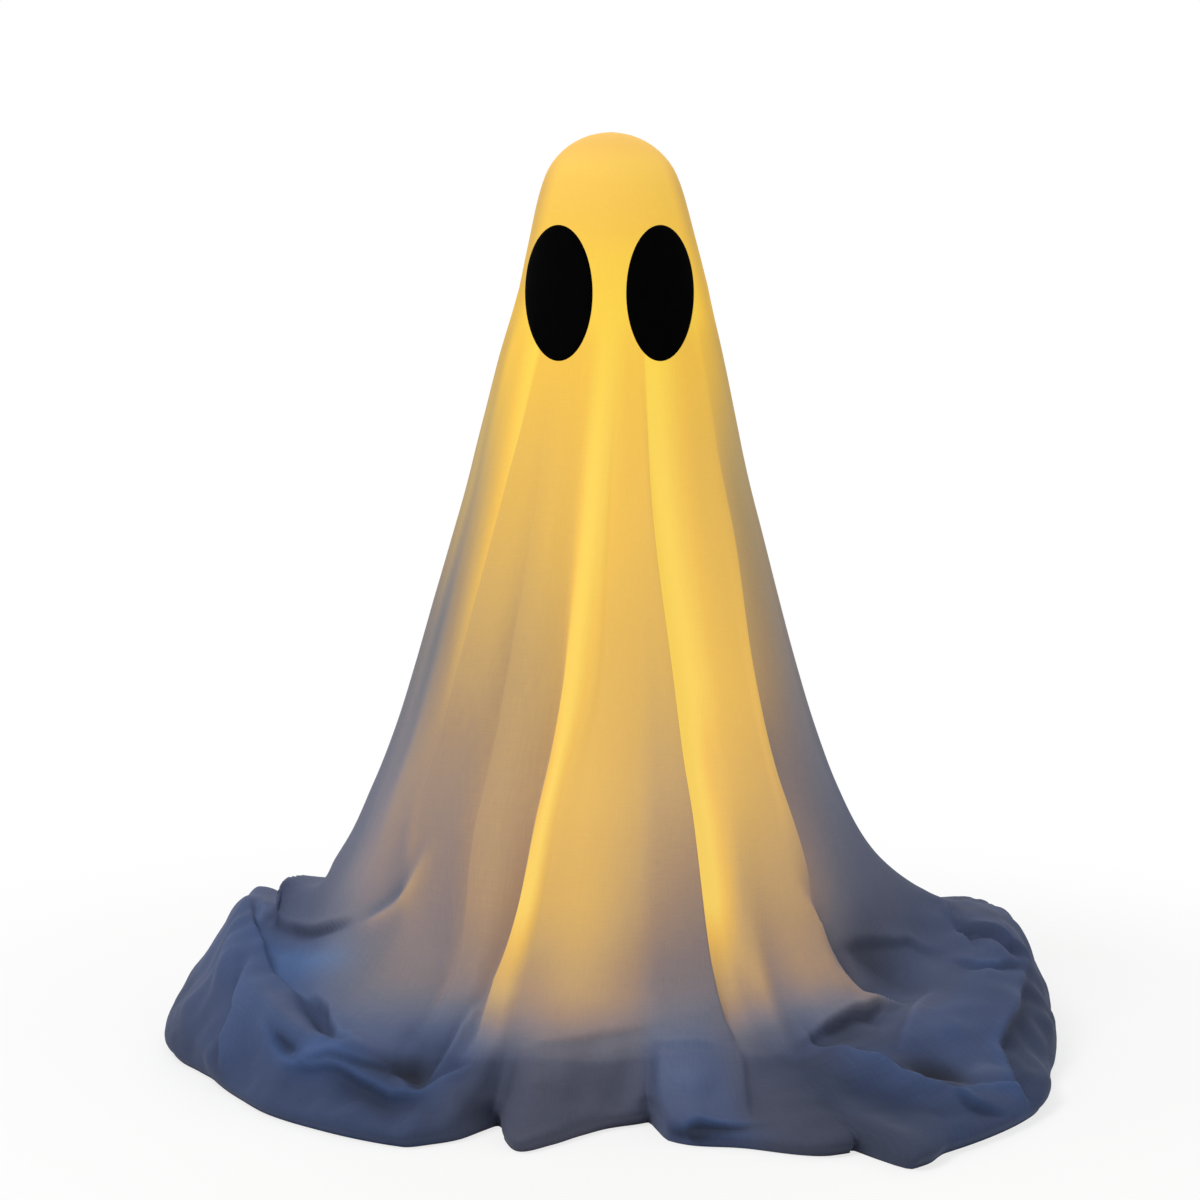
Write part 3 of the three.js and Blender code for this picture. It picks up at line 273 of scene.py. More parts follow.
# Fold lines of the front. Each has its angle, its painted glow of the lamp through the cloth, lighter and
# darker from fold to fold, and its lift off the smooth cloth (mm), from the head to the floor, at the heights
# of foldLevels.
foldLevels = (700, 550, 400, 300, 200, 120)
frontFolds = [
    ((-89,) * 6, (.55, .46, .24, .20, .16, .04), (1, 2, 3, 3, 3, 2)),
    ((-80,) * 6, (.58, .50, .28, .24, .20, .06), (0, -1, -2, -3, -3, -3)),
    ((-72,) * 6, (.62, .43, .23, .25, .30, .04), (0, -2, -3, -4, -4, -3)),
    ((-63,) * 6, (.84, .50, .36, .37, .32, .12), (0, 0, -1, -1, 0, 0)),
    ((-55, -56, -57, -57, -55, -52), (.85, .63, .44, .38, .27, .20), (0, -1, -1, -1, -2, -2)),
    ((-42, -47.5, -52, -53, -50, -46), (1.0, .89, .54, .38, .35, .24), (0, -4, -1, 0, 0, 0)),
    ((-38, -45, -48.5, -50, -46, -41), (.85, .70, .50, .37, .33, .25), (1, 5, 6, 4, 0, -1)),
    ((-34, -38, -39, -40, -39, -36.5), (.85, .71, .51, .37, .31, .24), (0, 1, 2, 0, -2, -3)),
    ((-29, -30.5, -32.3, -33, -34.3, -34.5), (.85, .68, .47, .44, .38, .30), (0, -3, -5, -6, -6, -5)),
    ((-27.5, -28.5, -30.5, -31.3, -32.6, -32.5), (.85, .69, .50, .46, .42, .30), (0, 1, 2, 3, 3, 2)),
    ((-20, -22, -24, -26, -27, -29), (.85, .74, .53, .48, .45, .32), (0, 1, 2, 2, 2, 1)),
    ((-11, -14, -13.8, -17, -20.4, -25.6), (.88, .76, .58, .46, .40, .33), (0, -3, -7, -9, -9, -6)),
    ((-8, -9.5, -12.4, -15.5, -19.3, -24.2), (.92, .94, .93, .80, .96, .60), (0, 2, 6, 7, 8, 5)),
    ((-4, -6.5, -9.5, -13.3, -17, -21.5), (.97, 1.0, .97, .97, .97, .65), (1, 4, 8, 9, 10, 8)),
    ((0, -3, -5.5, -10.5, -14.2, -17.8), (.95, .94, .84, .79, .69, .44), (1, 3, 4, 4, 4, 3)),
    ((4, 1, -1, -5, -7, -8), (.92, .86, .75, .74, .69, .52), (0,) * 6),
    ((9, 8, 8, 6, 5, 4), (.88, .82, .71, .65, .55, .40), (0,) * 6),
    ((13, 13, 13, 12, 11, 12), (.89, .80, .66, .54, .43, .26), (0, 1, 3, 4, 4, 2)),
    ((15.8, 16.4, 18.4, 19, 20.3, 21.7), (.88, .76, .66, .53, .38, .25), (0, 3, 7, 9, 9, 6)),
    ((17.2, 17.3, 19.2, 20, 21.3, 23.2), (.98, 1.0, 1.0, 1.0, .98, .55), (0, -2, -6, -8, -8, -5)),
    ((22, 22, 24, 23.5, 24.5, 26), (1.0, 1.0, 1.0, 1.0, 1.02, .54), (0, -2, -5, -6, -6, -4)),
    ((28, 28, 28, 27, 27, 28), (.95, .91, .94, .82, .83, .48), (0, 0, -1, -1, -1, -1)),
    ((34, 33, 33, 31, 30.5, 31), (.88, .85, .84, .75, .57, .50), (0, 1, 2, 3, 3, 2)),
    ((40, 39, 39, 38, 36, 35), (.85, .79, .80, .69, .53, .34), (0, 1, 2, 2, 0, -1)),
    ((46, 45, 43.5, 43, 42, 40.5), (.84, .77, .77, .66, .52, .40), (0, 2, 3, 4, 4, 3)),
    ((51, 51, 46.3, 45, 47.5, 45.5), (.86, .72, .74, .66, .44, .36), (1, 5, 7, 8, 8, 6)),
    ((54.5, 54, 48.3, 50, 52, 50.5), (.80, .60, .52, .32, .34, .20), (0, -2, -4, -6, -6, -4)),
    ((60, 60, 56, 56, 60, 58), (.75, .52, .45, .30, .24, .08), (0, -3, -6, -7, -7, -5)),
    ((68, 68, 66, 66, 68, 67), (.67, .48, .38, .26, .16, .00), (0, -2, -4, -5, -5, -3)),
    ((79,) * 6, (.56, .46, .32, .22, .10, .02), (0, -1, -4, -5, -5, 2)),
    ((90,) * 6, (.54, .43, .28, .18, .06, .02), (1, 1, -1, -2, -4, 7)),
]
# Heights, with the cloth's move in x, the head's painted glow of the lamp inside, and how much yellower the
# lamp's painted light makes the cloth
sway = ((150, 0), (250, -1), (450, -1), (600, 0), (690, 2), (760, 4.5), (835, 2.5), (930, 1))
headGlow = ((740, .95), (790, .92), (820, .87), (850, .88), (880, .90), (900, .83), (915, .80))
lampYellowing = ((250, 0), (420, .3), (600, .5), (700, .85), (745, 1), (790, .9), (860, .5), (905, .15))

# Folds of the gathered cloth. Each has its line, as angle and reach (-2 hanging, -1 flare, 0 valley, 1 crest,
# 2 shoulder, 3 hem), then lift, width and painted shading on its left and on its right (painted shade below
# 0, painted light above 0), its painted blue of the shade, and its ends' share. The dark pockets, hollows,
# bands, lines and arch and the light ridges, slopes, patches and tips below are painted shade and painted
# light laid over the lifts that shape them.
poolStrokes = [
    ([(-103, -0.4), (-96, -0.4), (-89, -0.25), (-84, 0)],
     [(18, 11, -0.02)] * 2, 0, 0.6),  # hump behind the left side
    ([(-124, -0.8), (-110, -0.8), (-98, -0.75), (-90, -0.65)], [(-22, 12, 0)] * 2, 0, 0.5),  # dip before it
    ([(-92, -0.25), (-88, -0.1), (-84.5, 0.05)],
     [(10, 12, 0.03), (-7, 8, -0.12)], 0, 0.4),  # ridge that comes forward from it
    ([(-84.5, 0.05), (-81, -0.3), (-75, -0.5), (-69, -0.7), (-65, -0.8)],
     [(7, 9, 0.04), (-9, 7, -0.24)], -0.2, 0.4),  # lip and its dark pockets
    ([(-40, -1.5), (-43, -1.4), (-49.5, -1.2), (-55, -1.05), (-59.5, -0.9)],
     [(7, 11, 0.28), (-7, 9, -0.2)], 0.3, 0.25),  # lower left band of the hanging cloth
    ([(-89, 0.65), (-85, 0.55), (-81.5, 0.5)], [(6, 5, 0.04)] * 2, 0.2, 0.3),  # small light ridge
    ([(-88, 0.9), (-83.5, 0.65), (-80.5, 0.5), (-78, 0.35), (-74.5, 0.25), (-70.5, 0.15), (-66, 0.05),
      (-59.5, -0.1)], [(-12, 16, 0), (9, 28, -0.09)], 0.6, 0.4),  # crease of the outer roll
    ([(-78.5, 0.25), (-74, -0.15), (-67.5, -0.35), (-58.5, -0.55)],
     [(4, 24, 0.1)] * 2, 1.5, 0.5),  # bright slope
    ([(-58.5, -0.05), (-54, 0), (-46, 0.65)], [(-13, 11, -0.16), (-9, 8, -0.16)], 0.5, 0.4),  # dark triangle
    ([(-60, -0.1), (-57.5, -0.15), (-53.5, -0.15), (-50.5, 0), (-45, 0.65), (-42, 0.65)],
     [(9, 12, 0.07), (-6, 6, -0.06)], 0.1, 0.2),  # inner cloth's edge
    ([(-70, 0.85), (-64.5, 1.5), (-64.5, 2), (-62, 2.5)],
     [(8, 22, 0.05), (-9, 12, -0.12)], 0.2, 0.4),  # ridge of the outer roll
    ([(-83.5, 2.15), (-78.5, 2.3), (-76, 2.55)], [(5, 26, 0.03)] * 2, -0.2, 0.4),  # outer roll's own light
    ([(-54.5, 1.45), (-51.5, 1.5), (-49.5, 1.5)],
     [(-10, 9, -0.16)] * 2, 0.4, 0.4),  # pocket under the thin edge
    ([(-56.5, 1.35), (-54, 1.55), (-51, 1.7), (-47.5, 1.75)],
     [(0, 4, 0), (6, 6, 0.13)], 0.3, 0.3),  # thin edge
    ([(-48.5, 1.5), (-45.5, 1.25), (-41.5, 1.1)],
     [(3, 16, 0.07), (3, 12, 0.07)], 0.8, 0.4),  # light blue patch
    ([(-46.5, 1.55), (-43.5, 1.3), (-40.5, 1.3), (-38, 1.3), (-33.5, 1.3)],
     [(3, 7, 0.02), (-7, 6, -0.14)], 0.3, 0.3),  # dark line
    ([(-48, 1.8), (-45.5, 1.7), (-43, 1.55), (-40.5, 1.55), (-37.5, 1.7), (-34, 1.85), (-31.5, 2),
      (-29.5, 1.95), (-27.5, 1.95)], [(9, 9, 0.09), (-8, 12, -0.07)], 0.6, 0.3),  # long ridge
    ([(-40, 1.85), (-34.5, 2.05), (-30, 2.25), (-27.5, 2.15)],
     [(-5, 18, -0.12)] * 2, 0.4, 0.5),  # dark band below it
    ([(-35, 1.2), (-32, 1.25), (-30, 1.5)], [(-15, 15, -0.22)] * 2, -0.5, 0.6),  # deep pocket
    ([(-35, 1.25), (-32, 1.5), (-30, 1.75), (-28.5, 1.85)],
     [(0, 4, 0), (5, 6, 0.09)], 0.2, 0.3),  # thin light fold
    ([(-28.5, 1.85), (-27.5, 1.7), (-25.5, 1.45), (-23.5, 1.05)],
     [(-4, 7, -0.02), (8, 9, 0.08)], 0.3, 0.2),  # light ridge in front of the pocket
    ([(-26, -0.45), (-27.5, -0.3), (-28, 0), (-28, 0.5), (-28, 1.05), (-28.5, 1.5)],
     [(7, 10, 0.03), (-7, 12, -0.1)], 0, 0.2),  # inner fold's edge
    ([(-37.5, -0.1), (-33, 0.5), (-30, 0.9)], [(-4, 18, -0.08)] * 2, 0, 0.4),  # purple shade
    ([(-21, 2.55), (-19.5, 2.75), (-15, 2.5)],
     [(-2, 14, -0.05), (-4, 14, -0.06)], 0, 0.4),  # hem's dark arch
    ([(87.5, 0.15), (89, 0.55), (88.5, 1), (87, 1.35)], [(0, 14, -0.03)] * 2, -0.3, 0.5),  # back lobe
    ([(84.5, 0.15), (82, 0.4), (82, 0.65), (82.5, 0.9), (81.5, 1.25), (83, 1.5)],
     [(6, 18, -0.04), (-13, 9, -0.08)], 0.1, 0.4),  # back lobe's lower edge
    ([(87.5, 0.05), (83.5, 0.25), (78, 0.65)],
     [(-8, 6, -0.04), (7, 12, 0.03)], 0.2, 0.4),  # tip of the hanging cloth
    ([(74, 0.5), (73.5, 0.9), (74.5, 1.25), (80.5, 1.6)],
     [(4, 9, 0.02), (-6, 6, -0.09)], 0.5, 0.3),  # crease below the tip
    ([(57, -0.65), (62, -0.45), (64, -0.15)], [(-12, 28, -0.11)] * 2, -0.1, 0.6),  # dark hollow
    ([(55, -0.75), (64, -0.6), (74, -0.3), (75.5, 0)],
     [(5, 10, 0.03), (-5, 8, -0.07)], 0, 0.3),  # hollow's top edge
    ([(44, -1.3), (45.5, -1.2), (48, -1.05), (50, -0.75), (51, -0.5), (52, -0.3), (54.5, -0.2),
      (56, 0.15)], [(-12, 14, -0.09), (7, 16, 0.06)], -0.3, 0.3),  # sharp edge of the bright fold's foot
    ([(49, -0.6), (51.5, -0.3), (55, -0.05)], [(0, 10, 0), (2, 22, 0.16)], -0.4, 0.5),  # light tip
    ([(55.5, 0.15), (53, -0.1), (48.5, -0.1), (43, -0.05), (39, 0.15), (36.5, 0.35)],
     [(-13, 20, -0.17), (6, 8, 0.06)], -0.2, 0.4),  # lip
    ([(39, 0.5), (44, 0.55), (48, 0.8)],
     [(-8, 32, -0.11), (-8, 28, -0.11)], -0.4, 0.6),  # floor of the pocket
    ([(63.5, 0.35), (59, 0.4), (52, 0.7), (48, 1), (44, 1.35)],
     [(10, 11, 0.09), (3, 8, 0)], -0.2, 0.3),  # upright light fold
    ([(36.5, 0.25), (36.5, 0.7), (37.5, 1), (38, 1.3), (40, 1.5), (41, 1.75), (42, 1.95), (43.5, 2.05),
      (44.5, 2.2)], [(-7, 9, -0.06), (9, 10, 0.09)], 0.2, 0.3),  # long ridge
    ([(31.5, 1), (32, 1.5), (35, 1.85), (37.5, 2.25), (40.5, 2.5)],
     [(-3, 18, -0.09), (-3, 22, -0.09)], 0.6, 0.4),  # dark band in front of it
    ([(43.5, 1.6), (46, 1.75), (48.5, 2)], [(-14, 15, -0.22)] * 2, -0.6, 0.6),  # darkest pocket
    ([(50, 2), (53.5, 2.05), (54.5, 2.2)], [(5, 12, 0.09)] * 2, -0.5, 0.5),  # pale patch
    ([(44.5, 2.2), (47.5, 2.2), (51.5, 2.3), (53.5, 2.45), (53, 2.75), (52.5, 3)],
     [(-3, 6, -0.04), (8, 14, 0.05)], 1.1, 0.5),  # small blue roll
    ([(44, 2.25), (44, 2.45), (45, 2.55), (47, 2.7), (48, 2.75)],
     [(4, 6, 0.03), (-7, 8, -0.1)], 0.6, 0.3),  # roll's lower edge
    ([(78.5, 1.75), (72, 1.8), (64.5, 1.85), (59, 1.95), (56.5, 2.2), (54, 2.45)],
     [(-5, 32, -0.14), (6, 11, 0.05)], 0.3, 0.6),  # outer roll's dark band
    ([(7.5, 0.5), (13, 0.5), (19, 0.65)], [(2, 8, 0.02), (-4, 10, -0.04)], 0.2, 0.5),  # flap's top step
    ([(11.5, 1.1), (13.5, 1.75), (13.5, 2.4)], [(2, 34, 0.05), (2, 26, 0.05)], 0.3, 0.5),  # flap
    ([(9, 0.55), (8, 1.75), (8, 2.7)], [(4, 12, 0.02), (-4, 9, -0.08)], 0.1, 0.4),  # flap's left edge
    ([(23, 0.9), (21.5, 1.6), (20.5, 2.25)], [(-3, 10, -0.03), (3, 12, 0)], 0, 0.3),  # flap's right edge
    ([(8.5, 3), (10.5, 2.9), (13.5, 2.55), (17, 2.5), (19.5, 2.45)],
     [(4, 6, 0.03), (-9, 16, -0.3)], 0.8, 0.3),  # dark hem under the flap
    ([(9.5, 3), (12.5, 2.95), (17, 2.7)], [(0, 9, -0.16)] * 2, 0.8, 0.3),  # shade under the flap
    ([(-15, 0.65), (-9.5, 0.4), (-2, 0), (8, -0.15)],
     [(2, 10, 0.02), (-5, 10, -0.06)], 0, 0.2),  # front crease
    ([(36.5, 1.85), (36.5, 2.25), (36, 2.65)], [(3, 30, -0.03)] * 2, 0.3, 0.5),  # blue of the right toe
]

# Painted light and painted blue of the shade on the gathered cloth round the ghost: angle, painted light low
# down, painted light at its top, blue
paintedPoolLight = np.array([
    (-95, -0.06, 0.05, 1.0), (-80, -0.07, 0.04, 1.1), (-62, -0.06, 0.03, 1.4), (-45, -0.06, 0.03, 1.55),
    (-28, -0.05, 0.08, 1.4), (-20, -0.04, 0.12, 0.5), (-10, 0.01, 0.18, 0.1), (5, 0.01, 0.14, 0.2),
    (9, 0.03, 0.13, 0.9), (17, 0.04, 0.13, 0.9), (22, -0.02, 0.06, 0.3), (30, -0.08, 0.03, 0.5),
    (38, -0.08, 0.03, 1.35), (52, -0.06, 0.04, 1.5), (66, -0.08, 0.02, 1.2), (80, -0.11, -0.01, 1.2),
    (95, -0.09, -0.01, 0.9), (125, -0.06, 0.03, 0.9), (180, -0.05, 0.04, 1.1), (230, -0.05, 0.04, 1.1),
])

backLean = 3  # degrees


def backOf(folds):
    # the back is the front's folds turned round the sides, with a little of their own lean
    out = []
    for angles, glow, lift in reversed(folds[1:-1]):
        turned = tuple(180 - a + backLean * math.sin(math.radians(2 * a)) for a in angles)
        out.append((turned, glow, lift))
    return out


def columnAngles(guides, p):
    # foot angles of the columns, with one column on each fold line
    feet = [g[0][-1] for g in guides] + [guides[0][0][-1] + 360]
    out = []
    for a, b in zip(feet[:-1], feet[1:]):
        spacing = p["frontSpacing"] if abs(a) < p["frontHalf"] else p["backSpacing"]
        count = max(2, math.ceil((b - a) / math.degrees(spacing / p["spacedAt"])))
        out.extend(a + (b - a) * i / count for i in range(count))
    return np.array(out)


def smoothSurface(feet, p):
    # the cloth without folds: radius and height of every row and column, and the path from the crown
    turn = pool[:, 0]
    around = np.vstack([pool[-2:], pool, pool[:2]])
    around[:2, 0] -= 360
    around[-2:, 0] += 360
    lower = pchip(around[:, 0], around[:, 1:], turn[0] + (feet - turn[0]) % 360).T
    many = np.ones(len(feet))
    radii = [many * p["domeRadius"] * math.sin(math.radians(a)) for a in p["domePolar"]]
    heights = [many * (p["domeCentre"] + p["domeRadius"] * math.cos(math.radians(a))) for a in p["domePolar"]]
    for z, r in standing:
        radii.append(many * r)
        heights.append(many * z)
    hem, lifted = lower[8:]
    radii += [*lower[0:8:2], hem, hem - p["hemInset"]]
    heights += [*lower[1:8:2], p["hemHeight"] + p["hemLift"] * lifted, p["thickness"] + lifted]
    radii, heights = np.array(radii), np.array(heights)
    path = np.r_[0, np.cumsum(np.hypot(np.diff(radii, axis=0), np.diff(heights, axis=0)).mean(1))]
    rows, (along, spacing) = [0.0], zip(*p["rowSpacings"])
    while rows[-1] < path[-1]:
        rows.append(rows[-1] + float(np.interp(rows[-1], along, spacing)))
    rows = np.array(rows[:-1] + [path[-1]])
    marks = path[-6:-1]  # flare, valley, crest, shoulder, hem
    return pchip(path, radii, rows), pchip(path, heights, rows), rows, marks


def byLevel(table, feet, guides, heights):
    # a value of the fold lines at every row and column: smooth round the ghost and down its height
    table = np.array(table, float)
    feetOf = np.array([g[0][-1] for g in guides])
    around = np.r_[feetOf[-2:] - 360, feetOf, feetOf[:2] + 360]
    columns = pchip(around, np.vstack([table[-2:], table, table[:2]]), feet)
    levels = np.array(foldLevels, float)[::-1]
    step = 2.0
    fine = np.arange(0, 941, step)
    down = pchip(levels, columns.T[::-1], np.clip(fine, levels[0], levels[-1]))
    index = np.clip(heights / step, 0, len(fine) - 1.001)
    low = index.astype(int)
    share = index - low
    column = np.arange(len(feet))[None, :]
    return down[low, column] * (1 - share) + down[low + 1, column] * share


strokeForm = {"middle": 4, "taper": 0.6, "falloff": 1.4}


def strokeField(points, strokes, surfacePoint, p):
    # lift, painted shade and light, and painted blue of the shade that the pool's folds bring to each point
    lift, paintedShading, shadeBlue = (np.zeros(points.shape[:-1]) for _ in range(3))
    for places, (left, right), blue, ends in strokes:
        line = np.array([surfacePoint(*at) for at in places])
        lengths = np.linalg.norm(np.diff(line, axis=0), axis=1)
        best = np.full(points.shape[:-1], 1e9)
        side, along = np.zeros_like(best), np.zeros_like(best)
        done = 0.0
        for start, end, size in zip(line[:-1], line[1:], lengths):
            step = (end - start) / size
            t = np.clip((points - start) @ step, 0, size)
            off = points - start - t[..., None] * step
            gap = np.linalg.norm(off, axis=-1)
            closer = gap < best
            best = np.where(closer, gap, best)
            side = np.where(closer, step[0] * off[..., 1] - step[1] * off[..., 0], side)
            along = np.where(closer, (done + t) / lengths.sum(), along)
            done += size
        taper = np.sin(np.pi * np.clip(along, 0.0, 1.0)) ** p["taper"]
        taper = ends + (1 - ends) * taper
        leftShare = smooth(-p["middle"], p["middle"], side)
        for part, (height, width, shade) in ((leftShare, left), (1 - leftShare, right)):
            shape = part * np.exp(-(best / width) ** p["falloff"]) * taper
            lift += height * shape
            paintedShading += shade * shape
            shadeBlue += blue * shape
    return lift, paintedShading, shadeBlue


def waves(points, size, seed, count=22):
    # a smooth uneven field between about -1 and 1, the same on every run
    random = np.random.default_rng(seed)
    out = np.zeros(points.shape[:-1])
    for _ in range(count):
        way = random.normal(size=3)
        way *= random.uniform(0.6, 1.5) * 2 * math.pi / size / np.linalg.norm(way)
        out += np.sin(points @ way + random.uniform(0, 2 * math.pi))
    return out / 4.7


def plotted(radius, height, turn):
    return np.stack([radius * np.sin(turn), -radius * np.cos(turn), height], -1)


# painted shade at the head's sides, painted light of the gathered cloth, and painted blue at the flanks
drapeTones = {  # degrees from front or back, heights, and height or path from the valley
    "sideShade": 0.27, "shadeFrom": (52, 76), "shadeBelow": (906, 850), "headFrom": (700, 742),
    "fadeHeight": (45, -35), "fadePath": (-5, 55), "poolLightRise": (20, 120),
    "unevenTone": 0.015, "unevenSize": 90,
    "flankBlue": 0.4, "flankFrom": (50, 74), "flankBelow": (720, 560),
}


def makeDrape(p):
    guides = frontFolds + backOf(frontFolds)
    feet = columnAngles(guides, p)
    radius, height, rows, marks = smoothSurface(feet, p)
    valley, crest = marks[1:3]
    falling = np.minimum.accumulate(height, axis=0)
    leans = [[a - angles[-1] for a in angles] for angles, _, _ in guides]  # away from each fold's foot
    lean = byLevel(leans, feet, guides, falling)
    glow = byLevel([g[1] for g in guides], feet, guides, falling)
    lift = byLevel([g[2] for g in guides], feet, guides, falling)
    angle = feet[None, :] + lean
    turn = np.radians(angle)
    points = plotted(radius, height, turn)
    reaches, stations = (-2, -1, 0, 1, 2, 3), (marks[0] - p["hanging"], *marks)

    def surfacePoint(degrees, reach):
        # a point of the smooth cloth at a stroke's angle and reach
        row = np.interp(np.interp(reach, reaches, stations), rows, np.arange(len(rows)))
        column = np.interp(feet[0] + (degrees - feet[0]) % 360, feet, np.arange(len(feet)))
        i, j = int(min(row, len(rows) - 2)), int(column)
        u, v, k = row - i, column - j, (j + 1) % len(feet)
        return ((points[i, j] * (1 - v) + points[i, k] * v) * (1 - u)
                + (points[i + 1, j] * (1 - v) + points[i + 1, k] * v) * u)

    # lifts off the smooth cloth: the long folds, the strokes, and uneven waves that are calmer at the sides
    path, valleyPath = rows[:, None], rows[:, None] - valley
    sideTurn = np.abs((angle + 180) % 360 - 180)
    overPool = smooth(valley + p["foldsTo"][0], crest + p["foldsTo"][1], path)
    lift = lift * smooth(*p["foldsFrom"], falling) * (1 - overPool)
    strokeLift, paintedShading, shadeBlue = strokeField(points, poolStrokes, surfacePoint, strokeForm)
    nearHem = smooth(*(rows[-1] - np.array(p["hemStill"])), path)
    lift += strokeLift * nearHem
    inPool = smooth(*(valley + np.array(p["wavesFrom"])), path)
    calm = 1 - p["sideCalm"] * smooth(*p["calmFrom"], sideTurn) * smooth(*p["calmTo"], sideTurn)
    wave = p["wave"] * waves(points, p["waveSize"], 3) * calm
    lift += (wave + p["ripple"] * waves(points, p["rippleSize"], 5)) * inPool * nearHem

    slopeR, slopeZ = np.gradient(radius, axis=0), np.gradient(height, axis=0)
    size = np.hypot(slopeR, slopeZ)
    radius = radius - lift * slopeZ / size
    height = np.maximum(height + lift * slopeR / size, p["thickness"])
    outer = plotted(radius, height, turn)
    outer[..., 0] += np.interp(height, *zip(*sway))

    # painted glow of the lamp inside through the cloth: the head's, with painted shade at its sides, then the
    # folds', then it fades out over the gathered cloth into its painted light and shade
    t = drapeTones
    fromFront = np.minimum(sideTurn, 180 - sideTurn)
    sideShade = t["sideShade"] * smooth(*t["shadeFrom"], fromFront) * smooth(*t["shadeBelow"], height)
    head = np.interp(height, *zip(*headGlow)) * (1 - sideShade)
    glow = glow + (head - glow) * smooth(*t["headFrom"], height)
    overValley = falling - falling[np.searchsorted(rows, valley)][None, :]
    fade = np.maximum(smooth(*t["fadeHeight"], overValley), smooth(*t["fadePath"], valleyPath))
    starts = paintedPoolLight[0, 0]
    hues = np.vstack([paintedPoolLight, paintedPoolLight[:1] + (360, 0, 0, 0)])
    low, top, blue = pchip(hues[:, 0], hues[:, 1:], starts + (feet - starts) % 360).T
    poolLightLevel = low + (top - low) * smooth(*t["poolLightRise"], height)
    poolLightLevel += t["unevenTone"] * waves(points, t["unevenSize"], 8)
    glow = glow + (poolLightLevel - glow) * fade + paintedShading
    # painted blue of the shade at the flanks below the head, and the gathered cloth's own painted blue
    flankBlue = t["flankBlue"] * smooth(*t["flankFrom"], fromFront) * smooth(*t["flankBelow"], height)
    shadeBlue = np.clip(fade * blue + (1 - fade) * flankBlue + shadeBlue, 0, 2)
    return feet, rows, marks, outer, glow, shadeBlue, np.interp(height, *zip(*lampYellowing))


def gridNormals(points):
    down = np.gradient(points, axis=0)
    across = np.roll(points, -1, 1) - np.roll(points, 1, 1)
    normal = np.cross(down, across)
    return normal / np.maximum(np.linalg.norm(normal, axis=-1, keepdims=True), 1e-9)


def gridFaces(rowCount, columnCount):
    index = np.arange(rowCount * columnCount).reshape(rowCount, columnCount)
    a, b = index[:-1], np.roll(index, -1, 1)[:-1]
    c, d = np.roll(index, -1, 1)[1:], index[1:]
    return np.stack([a, d, c, b], -1).reshape(-1, 4).tolist()


def makeClosed(name, loops, ends):
    # a closed mesh through loops of points: out over the top, round the edge and back underneath, with a
    # point in the middle of the first and of the last loop
    count, around = loops.shape[:2]
    top, last = count * around, (count - 1) * around
    faces = gridFaces(count, around)
    for i in range(around):
        j = (i + 1) % around
        faces += [(top, i, j), (top + 1, last + j, last + i)]
    return makeMesh(name, np.concatenate([loops.reshape(-1, 3), ends]), faces)


def makeDrapeMesh(outer, p):
    inner = outer - gridNormals(outer) * p["thickness"]
    inner[-1] = outer[-1]
    inner[-1, :, 2] = 0
    inner[..., 2] = np.maximum(inner[..., 2], 0)
    crown = outer[0].mean(0) + (0, 0, p["crownRise"])
    loops = np.concatenate([outer, inner[::-1]])
    return makeClosed("drape", loops, [crown, crown - (0, 0, p["thickness"])])


def setValues(mesh, name, values):
    # single values or vectors, one for each point of a mesh
    values = np.asarray(values, np.float32)
    kind, field = ("FLOAT", "value") if values.ndim == 1 else ("FLOAT_VECTOR", "vector")
    mesh.attributes.new(name, kind, "POINT").data.foreach_set(field, values.ravel())


def onBothSkins(values, crown):
    # values of the drape's grid in the order of its mesh: down its outside, up its inside, then the crown
    both = np.concatenate([values, values[::-1]])
    return np.concatenate([both.reshape(-1, *values.shape[2:]), [crown] * 2])


# The gathered cloth settles on what lies under it: a coarse copy, held above the pool and at its hem, grows a
# little and wrinkles. Its moves, capped and evened out, go back to the fine grid.
settling = {
    "above": 60, "held": 50, "free": 10,  # path from the flare, and before and after the valley
    "rowStep": 2, "columns": 360, "frames": 14, "quality": 6,
    "growth": 0.045, "stretch": 20, "shear": 8, "bend": 1.0, "mass": 0.25, "air": 2, "friction": 25,
    "inset": 5, "cap": 8, "evening": 4, "hemStill": (4, 50), "hemHold": (0.8, 1),
    "apart": 0.002, "bedSkins": (0.001, 0.004),  # metres
}


def byAngle(field, feet, wanted):
    # a round field of rows and columns read at other angles
    closed = np.concatenate([field, field[:, :1]], 1)
    ends = np.r_[feet, feet[0] + 360]
    at = feet[0] + (wanted - feet[0]) % 360
    j = np.clip(np.searchsorted(ends, at, side="right") - 1, 0, len(ends) - 2)
    part = ((at - ends[j]) / (ends[j + 1] - ends[j]))[None, :, None]
    return closed[:, j] * (1 - part) + closed[:, j + 1] * part


def gridObject(name, grid):
    return addObject(name, makeMesh(name, grid.reshape(-1, 3), gridFaces(*grid.shape[:2])))


